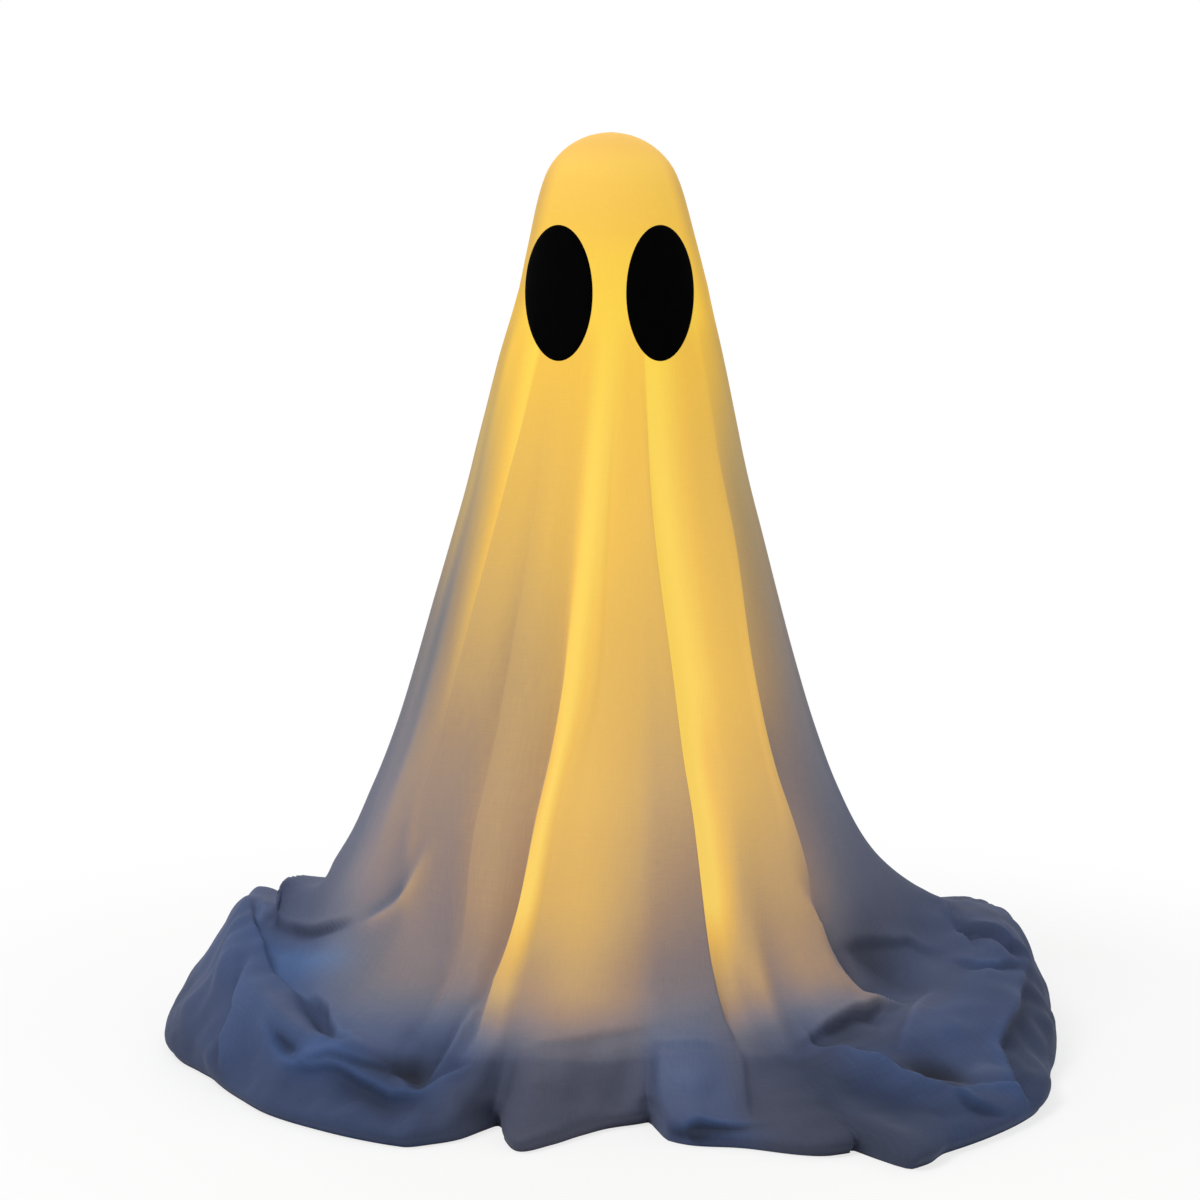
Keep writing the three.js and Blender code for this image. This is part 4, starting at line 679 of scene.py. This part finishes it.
def settle(outer, feet, rows, marks, p):
    flare, valley = marks[:2]
    first = int(np.searchsorted(rows, flare - p["above"]))
    picked = np.r_[np.arange(first, len(rows) - 1, p["rowStep"]), len(rows) - 1]
    angles = feet[0] + np.arange(p["columns"]) * 360 / p["columns"]
    before = byAngle(outer, feet, angles)[picked]
    under = before - gridNormals(before) * p["inset"]
    under[..., 2] = np.maximum(under[..., 2], 0)
    sheet, bed = gridObject("sheet", before), gridObject("bed", under)

    hold = np.clip((valley + p["free"] - rows[picked]) / (p["held"] + p["free"]), 0, 1)
    hold[-2:] = p["hemHold"]
    pins = sheet.vertex_groups.new(name="pins")
    for i, share in enumerate(hold):
        pins.add(list(range(i * p["columns"], (i + 1) * p["columns"])), float(share), "REPLACE")
    moving = sheet.modifiers.new("settle", "CLOTH")
    s = moving.settings
    s.quality, s.mass, s.air_damping, s.pin_stiffness = p["quality"], p["mass"], p["air"], 1
    s.tension_stiffness = s.compression_stiffness = p["stretch"]
    s.shear_stiffness, s.bending_stiffness = p["shear"], p["bend"]
    s.vertex_group_mass = "pins"
    s.shrink_min = s.shrink_max = -p["growth"]
    moving.collision_settings.distance_min = p["apart"]
    bed.modifiers.new("bed", "COLLISION")
    bed.collision.thickness_outer, bed.collision.thickness_inner = p["bedSkins"]
    bed.collision.cloth_friction = p["friction"]
    for step in range(1, p["frames"] + 1):
        bpy.context.scene.frame_set(step)
    shown = sheet.evaluated_get(bpy.context.evaluated_depsgraph_get()).to_mesh()
    after = np.zeros(before.size)
    shown.vertices.foreach_get("co", after)
    moves = after.reshape(before.shape) / mm - before
    bpy.context.scene.frame_set(1)
    for obj in (sheet, bed):
        bpy.data.objects.remove(obj)

    size = np.linalg.norm(moves, axis=-1, keepdims=True)
    moves *= np.minimum(1, p["cap"] / np.maximum(size, 1e-6))
    for _ in range(p["evening"]):
        moves = 0.5 * moves + 0.25 * (np.roll(moves, 1, 1) + np.roll(moves, -1, 1))
        moves[1:-1] = 0.5 * moves[1:-1] + 0.25 * (moves[2:] + moves[:-2])
    still, free = p["hemStill"]
    moves *= smooth(rows[-1] - still, rows[-1] - free, rows[picked])[:, None, None]
    print("settled: moved", round(float(np.linalg.norm(moves, axis=-1).mean()), 2), "mm on average")
    fine = byAngle(moves, angles, feet)
    every = np.arange(first, len(rows))
    i = np.clip(np.searchsorted(picked, every, side="right") - 1, 0, len(picked) - 2)
    part = ((every - picked[i]) / (picked[i + 1] - picked[i]))[:, None, None]
    settled = outer.copy()
    settled[first:] += fine[i] * (1 - part) + fine[i + 1] * part
    settled[..., 2] = np.maximum(settled[..., 2], cloth["thickness"])
    return settled


feet, rows, marks, outer, glow, shadeBlue, lampYellow = makeDrape(cloth)
outer = settle(outer, feet, rows, marks, settling)
drape = addObject("drape", makeDrapeMesh(outer, cloth))
for name, values in (("glow", glow), ("shadeBlue", shadeBlue), ("lampYellow", lampYellow)):
    setValues(drape.data, name, onBothSkins(values, values[0].mean()))
# the weave's own measure in metres: round the cloth, true at a radius of 0.25, and down from the crown
weaveX, weaveY = np.meshgrid(np.radians(feet) * 0.25, rows * mm)
setValues(drape.data, "weaveAt", onBothSkins(np.stack([weaveX, weaveY, 0 * weaveX], -1), (0, 0, 0)))
print("drape:", len(rows), "rows,", len(feet), "columns,", len(drape.data.polygons), "faces")

eyeSpots = {
    "centre": (49, 756), "half": (33, 64.5), "thickness": 1.5, "gap": 0.1,
    "rings": 18, "spokes": 80, "ringPower": 0.8, "slopeStep": 4,
    "edge": 9,  # the higher the power, the narrower the rounded edge
    "levels": (640, 880), "firstRadius": 94,  # where the drape is read, and a first guess of its radius
}


def radiusAt(turn, height, levels):
    # the drape's radius at some angles (radians) and heights, read between two levels
    middle = outer[..., 2].mean(1)
    radii, heights = [], []
    for row in outer[(middle > levels[0]) & (middle < levels[1])][::-1]:
        bearing = np.arctan2(row[:, 0], -row[:, 1])
        order = np.argsort(bearing)
        radii.append(np.interp(turn, bearing[order], np.hypot(row[:, 0], row[:, 1])[order]))
        heights.append(np.interp(turn, bearing[order], row[order, 2]))
    radii, heights = np.array(radii), np.array(heights)
    out = np.zeros_like(turn)
    for at in np.ndindex(turn.shape):
        out[at] = np.interp(height[at], heights[(slice(None), *at)], radii[(slice(None), *at)])
    return out


def makeEye(name, side, p):
    # an oval of felt that follows the drape, with a soft rounded edge
    spoke = np.arange(p["spokes"]) / p["spokes"] * 2 * math.pi
    ring = np.r_[0, (np.arange(1, p["rings"] + 1) / p["rings"]) ** p["ringPower"]]
    x = side * p["centre"][0] + np.outer(ring, p["half"][0] * np.cos(spoke))
    z = p["centre"][1] + np.outer(ring, p["half"][1] * np.sin(spoke))
    turn = np.arcsin(np.clip(x / p["firstRadius"], -0.95, 0.95))
    for _ in range(4):
        radius = radiusAt(turn, z, p["levels"])
        turn = np.arcsin(np.clip(x / radius, -0.97, 0.97))
    step = p["slopeStep"]
    slope = (radiusAt(turn, z + step, p["levels"]) - radiusAt(turn, z - step, p["levels"])) / (2 * step)
    normal = np.stack([np.sin(turn), -np.cos(turn), -slope], -1)
    normal /= np.linalg.norm(normal, axis=-1, keepdims=True)
    raised = p["thickness"] * np.sqrt(np.clip(1 - ring[:, None] ** p["edge"], 0, 1))
    base = plotted(radius, z, turn) + normal * p["gap"]
    top = base + normal * raised[..., None]
    loops = np.concatenate([top[1:], base[-2:0:-1]])
    return addObject(name, makeClosed(name, loops, [top[0].mean(0), base[0].mean(0)]))


eyes = [makeEye("felt_eye_left", -1, eyeSpots), makeEye("felt_eye_right", 1, eyeSpots)]
print("eyes made")

# cloth colour by painted glow: painted shade below 0, the lamp's full painted light at 1
glowColours = (  # glow, colour
    (-.25, (26, 28, 38)), (-.15, (40, 43, 56)), (0, (66, 69, 86)), (.1, (86, 87, 102)), (.2, (109, 106, 114)),
    (.3, (138, 122, 120)), (.42, (170, 140, 113)), (.55, (200, 163, 110)), (.7, (225, 180, 100)),
    (.85, (245, 195, 95)), (1.0, (254, 215, 103)),
)
shineShares = ((.05, 0), (.3, .3), (.6, .56), (1.0, .74))  # glow, share of the colour that shines through
glowLow, glowHigh = -.25, 1.0
shadeTint, lampTint = (0.78, 1.03, 1.4, 1), (1, 1, 0.45, 1)
threadGlow = 0.05  # how far thick and thin threads change the glow


def newGroup(name, given, out):
    # an empty node group with named sockets: its tree, what it is given, and its output node
    group = bpy.data.node_groups.new(name, "ShaderNodeTree")
    for way, sockets in (("INPUT", given), ("OUTPUT", out)):
        for label, kind in sockets.items():
            group.interface.new_socket(label, in_out=way, socket_type="NodeSocket" + kind)
    return group, group.nodes.new("NodeGroupInput").outputs, group.nodes.new("NodeGroupOutput")


def multiplied(tree, a, b):
    return mixColours(tree, 1, a, b, blend_type="MULTIPLY")


def noise(tree, where, scale, detail=2):
    return makeNode(tree, "TexNoise", {"Vector": where, "Scale": scale, "Detail": detail}).outputs["Fac"]


def onObject(tree):
    return makeNode(tree, "TexCoord").outputs["Object"]


def stretched(tree, where, by):
    return makeNode(tree, "VectorMath", {0: where, 1: by}, operation="MULTIPLY").outputs[0]


def attribute(tree, name, output="Fac"):
    return makeNode(tree, "Attribute", attribute_name=name).outputs[output]


def relief(tree, height, strength, distance):
    bump = makeNode(tree, "Bump", {"Height": height, "Strength": strength, "Distance": distance})
    return bump.outputs["Normal"]


def makeSurface(tree, inputs):
    surface = makeNode(tree, "BsdfPrincipled", inputs)
    makeNode(tree, "OutputMaterial", {"Surface": surface.outputs[0]})


def rampOf(tree, value, stops):
    # a colour ramp along the glow
    ramp = makeNode(tree, "ValToRGB", {"Fac": value})
    elements = ramp.color_ramp.elements
    while len(elements) < len(stops):
        elements.new(0.5)
    for element, (glow, colour) in zip(elements, stops):
        element.position = (glow - glowLow) / (glowHigh - glowLow)
        element.color = colour
    return ramp.outputs["Color"]


def makeInnerGlow():
    # splits a lit cloth's colour into what it reflects and what shines through it as painted light
    takes, gives = {"Glow": "Float", "Tint": "Color"}, {"Base": "Color", "Shine": "Color"}
    group, given, out = newGroup("innerGlow", takes, gives)
    ends = {"From Min": glowLow, "From Max": glowHigh}
    unit = makeNode(group, "MapRange", {"Value": given["Glow"], **ends}).outputs["Result"]
    colour = rampOf(group, unit, [(at, linear(*c)) for at, c in glowColours])
    part = rampOf(group, unit, [(at, (s, s, s, 1)) for at, s in shineShares])
    rest = makeNode(group, "Invert", {"Color": part}).outputs["Color"]
    tinted = multiplied(group, colour, given["Tint"])
    feed(group, out, {"Base": multiplied(group, tinted, rest), "Shine": multiplied(group, tinted, part)})
    return group


innerGlow = makeInnerGlow()


def makeTint(tree):
    # painted blue where the cloth lies in shade, and the lamp's painted warmer yellow light over it
    tints = [mixColours(tree, attribute(tree, name), (1, 1, 1, 1), colour, clamp_factor=False)
             for name, colour in (("shadeBlue", shadeTint), ("lampYellow", lampTint))]
    return multiplied(tree, *tints)


def makeClothMaterial():
    mat, tree = newMaterial("litCloth")
    # uneven threads both ways, on the cloth's own measure
    laid = attribute(tree, "weaveAt", "Vector")
    yarns = [noise(tree, stretched(tree, laid, perMetre), 1, 1) for perMetre in ((900, 50, 1), (50, 900, 1))]
    threads = maths(tree, "ADD", *yarns)
    thinner = maths(tree, "MULTIPLY_ADD", threads, threadGlow, -threadGlow)
    # the glow attribute is the lamp's painted light through the cloth, with the folds' painted shade and
    # light
    glowing = maths(tree, "ADD", thinner, attribute(tree, "glow"))
    lit = makeNode(tree, "Group", {"Glow": glowing, "Tint": makeTint(tree)}, node_tree=innerGlow).outputs
    makeSurface(tree, {
        "Base Color": lit["Base"], "Roughness": 0.88, "Normal": relief(tree, threads, 0.25, 0.0004),
        "Emission Color": lit["Shine"], "Emission Strength": 1.0,
    })
    return mat


def makeFeltMaterial():
    mat, tree = newMaterial("blackFelt")
    fibres, patches = noise(tree, onObject(tree), 900, 3), noise(tree, onObject(tree), 60)
    shade = maths(tree, "MULTIPLY", fibres, patches)
    makeSurface(tree, {
        "Base Color": mixColours(tree, shade, linear(1, 1, 1), linear(9, 7, 7)), "Roughness": 0.95,
        "Specular IOR Level": 0.02, "Normal": relief(tree, fibres, 0.4, 0.0004),
    })
    return mat


def dress(piece, mat, body, slot, node):
    piece.data.materials.clear()
    piece.data.materials.append(mat)
    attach(piece, body)
    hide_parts(node)


felt = makeFeltMaterial()
for eye, node in zip(eyes, ("eye_left", "eye_right")):
    dress(eye, felt, "cover", "felt", node)
dress(drape, makeClothMaterial(), "cover", "cloth", "cloth")
print("cloth made")


# The inside shows when the cover is lifted and from below when the battery door is open.

globe = {
    "radius": 67, "wall": 2, "centre": 840.22, "neck": 26.3, "bottom": 765.2, "bead": 0.9,
    "neckGlow": 0.82, "crownGlow": 0.14, "glowSpan": (-1.0, 0.6),  # span in radii from the centre
}
tubeParts = {
    "radius": 32, "wall": 2, "bottom": 53, "top": 761.2, "firstLamp": 95.1, "lampPitch": 52,
    "endGlow": 0.68, "middleGlow": 0.16, "spotGlow": 0.14, "spotPower": 1.5, "endFade": 40,
}
foot = {"radius": 9, "peg": 3.5, "height": 5, "pegTop": 8, "circle": 84.4}
housing = {
    "radius": 99.9, "rim": 97.4, "bottom": 5, "top": 49, "shoulder": 9, "wall": 2.5, "wireHole": 10.85,
    "slot": (5.75, 2.0), "slotAt": -78.4, "slotFlare": 0.7,  # half length and width, and its place in y
    "bosses": 4, "bossCircle": 72.4, "bossRadius": 4.3, "bossHole": 1.8, "bossFoot": 13.3,
    "boardBossAt": 13.2, "boardBossFoot": 42.0, "seam": 9.0, "seamHalf": 0.5, "seamDepth": 0.45,
}
socket = {
    "radius": 42, "bottom": 49, "flangeTop": 53, "collar": 29.7, "top": 65,
    "pocket": 10.3, "pocketFloor": 59, "pocketFlare": 0.6,
}


def filleted(corners, steps=5):
    # the closed outline of (radius, height, fillet) corners with its corners rounded off
    out = []
    count = len(corners)
    for i, (r, z, size) in enumerate(corners):
        here = np.array((r, z), float)
        if size == 0:
            out.append(here)
            continue
        ways = [np.array(corners[(i + s) % count][:2], float) - here for s in (-1, 1)]
        start, end = (here + way / np.linalg.norm(way) * size for way in ways)
        for t in np.linspace(0, 1, steps):
            out.append((1 - t) ** 2 * start + 2 * t * (1 - t) * here + t * t * end)
    return out


def arc(radius, centre, first, last, steps):
    # points of a circle about a place on the axis; angles in degrees from straight up
    turns = np.radians(np.linspace(first, last, steps))
    return [(radius * math.sin(t), centre + radius * math.cos(t), 0) for t in turns]


def onCircle(radius, turn):
    return radius * math.cos(turn), radius * math.sin(turn)


def makeTurned(name, outline, steps=96, at=(0, 0)):
    # a closed outline turned round an upright axis; its points on the axis become single ones
    vertices, rings = [], []
    for r, z in outline:
        if r < 1e-6:
            rings.append([len(vertices)] * steps)
            vertices.append((*at, z))
            continue
        rings.append(list(range(len(vertices), len(vertices) + steps)))
        for k in range(steps):
            x, y = onCircle(r, 2 * math.pi * k / steps)
            vertices.append((at[0] + x, at[1] + y, z))
    faces = []
    for a, b in zip(rings, rings[1:] + rings[:1]):
        if a[0] == a[1] and b[0] == b[1]:
            continue
        for k in range(steps):
            n = (k + 1) % steps
            faces.append(list(dict.fromkeys((a[k], a[n], b[n], b[k]))))
    return makePiece(name, vertices, faces)


def makePiece(name, vertices, faces):
    # a closed piece with all its faces turned outwards
    mesh = makeMesh(name, vertices, faces)
    work = bmesh.new()
    work.from_mesh(mesh)
    bmesh.ops.recalc_face_normals(work, faces=work.faces)
    work.to_mesh(mesh)
    work.free()
    return addObject(name, mesh)


def makeGlobe(p):
    # a blown shell: the sphere, a soft turn into its neck, and a bead round the neck's end
    wall = p["wall"]
    end = 180 - math.degrees(math.asin(p["neck"] / p["radius"]))
    outline = arc(p["radius"], p["centre"], 0, end - 3, 60)
    outline += [(p["neck"] + 0.5, p["bottom"] + 7.5, 2), (p["neck"], p["bottom"] + 3, 0)]
    outline += [(p["neck"], p["bottom"] + 2.4, 0.3), (p["neck"] + p["bead"], p["bottom"] + 2, 0.4),
                (p["neck"] + p["bead"], p["bottom"], 0.5), (p["neck"] - wall, p["bottom"], 0.4)]
    outline += arc(p["radius"] - wall, p["centre"], end, 0, 50)
    return makeTurned("globe_shell", filleted(outline), 128)


def makeTube(p):
    # rows close enough together to carry the soft spots of the lamps
    outer, inner = p["radius"], p["radius"] - p["wall"]
    outline = [(inner, p["bottom"], 0.5), (outer, p["bottom"], 0.7)]
    outline += [(outer, z, 0) for z in np.arange(p["bottom"] + 4, p["top"] - 3, 4)]
    outline += [(outer, p["top"], 0.7), (inner, p["top"], 0.5)]
    return makeTurned("diffuser_sleeve", filleted(outline))


def makeFoot(i, p):
    at = onCircle(p["circle"], i * math.pi / 2)
    r, height, peg, end = p["radius"], p["height"], p["peg"], p["pegTop"]
    outline = [(0, 0, 0), (r - 3.2, 0, 0.4), (r - 2.6, 0.5, 0.3), (r - 2.0, 0, 0.4), (r, 0, 1.4),
               (r, height, 0.6), (peg, height, 0.3), (peg, end, 0.5), (0, end, 0)]
    return makeTurned(f"rubber_foot_{i + 1}", filleted(outline), 48, at)


def cutAway(obj, cutter):
    # takes one closed mesh out of another for good
    taking = obj.modifiers.new("cut", "BOOLEAN")
    taking.operation, taking.solver, taking.object = "DIFFERENCE", "EXACT", cutter
    bpy.context.view_layer.update()
    cut = bpy.data.meshes.new_from_object(obj.evaluated_get(bpy.context.evaluated_depsgraph_get()))
    obj.modifiers.clear()
    cut.set_sharp_from_angle(angle=math.radians(30))
    obj.data = cut
    bpy.data.objects.remove(cutter)


def makeBlock(name, low, high, flare=0.0):
    # a box from one corner to another whose top may be wider all round
    ends, ways, spread = (low, high), (-1, 1), (0, flare)
    vertices = [(ends[i][0] + ways[i] * spread[k], ends[j][1] + ways[j] * spread[k], ends[k][2])
                for k in (0, 1) for j in (0, 1) for i in (0, 1)]
    faces = [(0, 1, 3, 2), (4, 5, 7, 6), (0, 1, 5, 4), (2, 3, 7, 6), (0, 2, 6, 4), (1, 3, 7, 5)]
    return makePiece(name, vertices, faces)


def join(obj, other):
    work = bmesh.new()
    work.from_mesh(obj.data)
    work.from_mesh(other.data)
    work.to_mesh(obj.data)
    work.free()
    bpy.data.objects.remove(other)


def rounded(r, z, size, turns):
    # a rounded corner: points about (r, z) at some turns
    return [(r + size * math.cos(t), z + size * math.sin(t), 0) for t in turns]


def makeHousingShell(p):
    # a bowl upside down with a rolled shoulder, a seam line where its mould parted and a rim that rounds in
    inner = p["shoulder"] - p["wall"]
    ceiling = p["top"] - p["wall"]
    seam, half = p["bottom"] + p["seam"], p["seamHalf"]
    turns = np.radians(np.linspace(0, 90, 13))
    outline = [(p["rim"], p["bottom"], 0.4), (p["radius"], p["bottom"], 0.8), (p["radius"], seam - half, 0.2),
               (p["radius"] - p["seamDepth"], seam, 0.2), (p["radius"], seam + half, 0.2)]
    outline += rounded(p["radius"] - p["shoulder"], p["top"] - p["shoulder"], p["shoulder"], turns)
    outline += [(p["wireHole"], p["top"], 0.5), (p["wireHole"], ceiling, 0.5)]
    outline += rounded(p["rim"] - inner, ceiling - inner, inner, turns[::-1])
    shell = makeTurned("housing_shell", filleted(outline), 160)
    length, width = p["slot"]
    cutAway(shell, makeBlock("slot", (-length, p["slotAt"] - width, ceiling - 1),
                             (length, p["slotAt"] + width, p["top"] + 0.4), p["slotFlare"]))
    turns = np.radians(45 + 90 * np.arange(p["bosses"]))
    posts = [(*onCircle(p["bossCircle"], t), p["bossFoot"]) for t in turns]
    posts += [(side * p["boardBossAt"], p["slotAt"], p["boardBossFoot"]) for side in (-1, 1)]
    hole, r, end = p["bossHole"], p["bossRadius"], ceiling - 0.05
    for i, (x, y, z) in enumerate(posts):
        outline = [(hole, z, 0.2), (r, z, 0.4), (r, end, 0), (hole, end, 0)]
        join(shell, makeTurned(f"boss_{i}", filleted(outline), 24, (x, y)))
    return shell


def makeSocket(p):
    outline = [(0, p["bottom"], 0), (p["radius"], p["bottom"], 0.3), (p["radius"], p["flangeTop"], 1.4),
               (p["collar"], p["flangeTop"], 0.4), (p["collar"], p["top"], 1.2), (0, p["top"], 0)]
    piece = makeTurned("socket_flange", filleted(outline), 128)
    half = p["pocket"]
    corners = (-half, -half, p["pocketFloor"]), (half, half, p["top"] + 1)
    cutAway(piece, makeBlock("pocket", *corners, p["pocketFlare"]))
    return piece


def lampSpots(p, points):
    # how much of the lamps shows through the sleeve: spots on its four sides, at the lamps' pitch
    turn = np.arctan2(points[:, 1], points[:, 0])
    up = (points[:, 2] - p["firstLamp"]) / p["lampPitch"]
    spots = (0.5 + 0.5 * np.cos(4 * turn)) * (0.5 + 0.5 * np.cos(2 * math.pi * up)) ** p["spotPower"]
    low, high, fade = p["bottom"], p["top"], p["endFade"]
    ends = smooth(low, low + fade, points[:, 2]) * smooth(high, high - fade, points[:, 2])
    return p["endGlow"] + p["middleGlow"] * ends + p["spotGlow"] * spots * ends


def globeShine(p, points):
    # the lamp board looks up, so the crown is brightest and the neck dim
    up = (points[:, 2] - p["centre"]) / p["radius"]
    return p["neckGlow"] + p["crownGlow"] * smooth(*p["glowSpan"], up)


def placesOf(obj):
    places = np.zeros(len(obj.data.vertices) * 3)
    obj.data.vertices.foreach_get("co", places)
    return places.reshape(-1, 3) / mm


globeShell, sleeve = makeGlobe(globe), makeTube(tubeParts)
setValues(globeShell.data, "glow", globeShine(globe, placesOf(globeShell)))
setValues(sleeve.data, "glow", lampSpots(tubeParts, placesOf(sleeve)))
rubberFeet = [makeFoot(i, foot) for i in range(4)]
housingShell, socketFlange = makeHousingShell(housing), makeSocket(socket)
print("globe, sleeve, socket, housing and feet made")

skinGives = {"Colour": "Color", "Rough": "Float", "Height": "Float"}


def makeMoulded():
    # the skin of a moulded piece: fine grain, patches of a slightly other shade, and uneven gloss
    takes = {"Colour": "Color", "Patch": "Color", "Grain": "Float", "Rough": "Float"}
    group, given, out = newGroup("mouldedSkin", takes, skinGives)
    grain, patches = noise(group, onObject(group), given["Grain"], 3), noise(group, onObject(group), 26, 4)
    feed(group, out, {
        "Colour": mixColours(group, patches, given["Colour"], given["Patch"]),
        "Rough": maths(group, "MULTIPLY_ADD", grain, 0.16, given["Rough"]),
        "Height": grain,
    })
    return group


def makeBrushed():
    # drawn or brushed metal: fine lines along one way
    takes = {"Colour": "Color", "Lines": "Vector", "Rough": "Float"}
    group, given, out = newGroup("brushedMetal", takes, skinGives)
    lines = noise(group, stretched(group, onObject(group), given["Lines"]), 1, 4)
    feed(group, out, {
        "Colour": mixColours(group, lines, given["Colour"], (0.62, 0.62, 0.64, 1), blend_type="MULTIPLY"),
        "Rough": maths(group, "MULTIPLY_ADD", lines, 0.22, given["Rough"]),
        "Height": lines,
    })
    return group


mouldedSkin, brushedMetal = makeMoulded(), makeBrushed()


def finishOf(name, group, values, depth, coat=0.0, metal=0.0):
    # a material whose colour, roughness and fine relief come from one of the two skins
    mat, tree = newMaterial(name)
    skin = makeNode(tree, "Group", values, node_tree=group).outputs
    makeSurface(tree, {
        "Base Color": skin["Colour"], "Roughness": skin["Rough"], "Metallic": metal, "Coat Weight": coat,
        "Normal": relief(tree, skin["Height"], 0.35, depth),
    })
    return mat


def moulded(name, colour, patch, grain, rough, depth, coat=0.0):
    values = {"Colour": linear(*colour), "Patch": linear(*patch), "Grain": grain, "Rough": rough}
    return finishOf(name, mouldedSkin, values, depth, coat)


def brushed(name, colour, lines, rough):
    values = {"Colour": linear(*colour), "Lines": lines, "Rough": rough}
    return finishOf(name, brushedMetal, values, 0.00005, metal=1.0)


def opened(mat):
    # a finish's tree and its surface, to change them
    return mat.node_tree, mat.node_tree.nodes["Principled BSDF"]


def fedBy(surface, socket):
    # what one of a surface's colours comes from now: another node's output, or a plain colour
    plug = surface.inputs[socket]
    return plug.links[0].from_socket if plug.links else tuple(plug.default_value)


def swapColour(tree, surface, socket, mask, colour):
    # another colour on one of the surface's sockets wherever the mask is 1
    feed(tree, surface, {socket: mixColours(tree, mask, fedBy(surface, socket), linear(*colour))})


def isBeyond(tree, vector, parts, limit):
    # 1 where the largest of some parts of a vector is beyond a limit
    split = makeNode(tree, "SeparateXYZ", {0: vector}).outputs
    size, *others = [maths(tree, "ABSOLUTE", split[part]) for part in parts]
    for other in others:
        size = maths(tree, "MAXIMUM", size, other)
    return maths(tree, "GREATER_THAN", size, limit)


def makeFrosted():
    # frosted shell, lit from inside
    mat = moulded("frostedShell", (236, 226, 205), (228, 216, 192), 2600, 0.42, 0.00008)
    tree, surface = opened(mat)
    values = {"Tint": (1.0, 1.2, 3.1, 1), "Glow": attribute(tree, "glow")}
    lit = makeNode(tree, "Group", values, node_tree=innerGlow).outputs
    feed(tree, surface, {
        "Base Color": multiplied(tree, lit["Base"], fedBy(surface, "Base Color")),
        "Emission Color": lit["Shine"], "Emission Strength": 1.0,
    })
    return mat


def makeLampStrip(name, parts, limit):
    # white lacquered board; its lamps are what stands proud of it
    mat = moulded(name, (238, 236, 228), (226, 224, 214), 1500, 0.3, 0.00003, coat=0.3)
    tree, surface = opened(mat)
    lamp = isBeyond(tree, onObject(tree), parts, limit)
    feed(tree, surface, {"Emission Color": (0, 0, 0, 1), "Emission Strength": 1.0})
    swapColour(tree, surface, "Base Color", lamp, (120, 96, 40))
    swapColour(tree, surface, "Emission Color", lamp, (250, 222, 150))
    return mat


def makeCellSleeve():
    # shrunk sleeve with a paler band near each end; the ends themselves are bare steel
    mat = moulded("cellSleeve", (42, 92, 68), (34, 80, 60), 700, 0.28, 0.00002, coat=0.5)
    tree, surface = opened(mat)
    end = isBeyond(tree, makeNode(tree, "TexCoord").outputs["Normal"], ("X",), 0.7)
    swapColour(tree, surface, "Base Color", isBeyond(tree, onObject(tree), ("X",), 0.0185), (176, 178, 180))
    swapColour(tree, surface, "Base Color", end, (150, 151, 154))
    feed(tree, surface, {"Metallic": end})
    return mat


def makeBoardFinish():
    # coated board: paler tracks under the coat
    mat = moulded("coatedBoard", (28, 92, 58), (24, 82, 52), 900, 0.32, 0.00003, coat=0.4)
    tree, surface = opened(mat)
    black, white = (0, 0, 0, 1), (1, 1, 1, 1)
    tracks = makeNode(tree, "TexBrick", {
        "Vector": onObject(tree), "Scale": 130, "Mortar Size": 0.06,
        "Color1": black, "Color2": black, "Mortar": white,
    }, offset=0.5, squash=0.6)
    swapColour(tree, surface, "Base Color", tracks.outputs["Color"], (58, 128, 84))
    return mat


along, across = (60, 60, 3500), (3500, 3500, 60)  # which way the lines of a metal piece run
finishes = {  # by the record's slot
    "white_plastic": moulded("whiteShell", (228, 226, 219), (221, 219, 212), 1700, 0.42, 0.00012),
    "grey_plastic": moulded("greyShell", (76, 78, 82), (68, 70, 74), 1500, 0.48, 0.00012),
    "black_plastic": moulded("blackShell", (24, 24, 27), (32, 32, 35), 1600, 0.36, 0.00006),
    "rubber": moulded("footRubber", (38, 38, 40), (48, 47, 47), 900, 0.72, 0.0001),
    "red_lead": moulded("redInsulation", (160, 38, 34), (146, 32, 30), 700, 0.34, 0.00003),
    "black_lead": moulded("blackInsulation", (24, 24, 25), (34, 34, 35), 700, 0.34, 0.00003),
    "aluminium": brushed("drawnAluminium", (186, 189, 193), along, 0.3),
    "steel": brushed("platedSteel", (146, 148, 152), across, 0.26),
    "spring": brushed("nickelPlate", (202, 203, 206), across, 0.16),
    "strip": makeLampStrip("lampStrip", ("X", "Y"), 0.0111),
    "frosted": makeFrosted(),
    "cell": makeCellSleeve(),
    "board": makeBoardFinish(),
}

for name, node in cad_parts.items():
    for place in node.material_slots:
        slot = place.material.name.split(".")[0]
        if slot in finishes:
            place.material = finishes[slot]
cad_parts["head_board"].material_slots[0].material = makeLampStrip("lampBoard", ("Z",), 0.789)

standIns = [(globeShell, "frosted", "head_globe"), (sleeve, "frosted", "diffuser_tube"),
            (housingShell, "white_plastic", "base_housing"), (socketFlange, "white_plastic", "column_socket")]
standIns += [(obj, "rubber", f"foot_{i + 1}") for i, obj in enumerate(rubberFeet)]
for piece, slot, node in standIns:
    dress(piece, finishes[slot], "frame", slot, node)
print("inside finished")
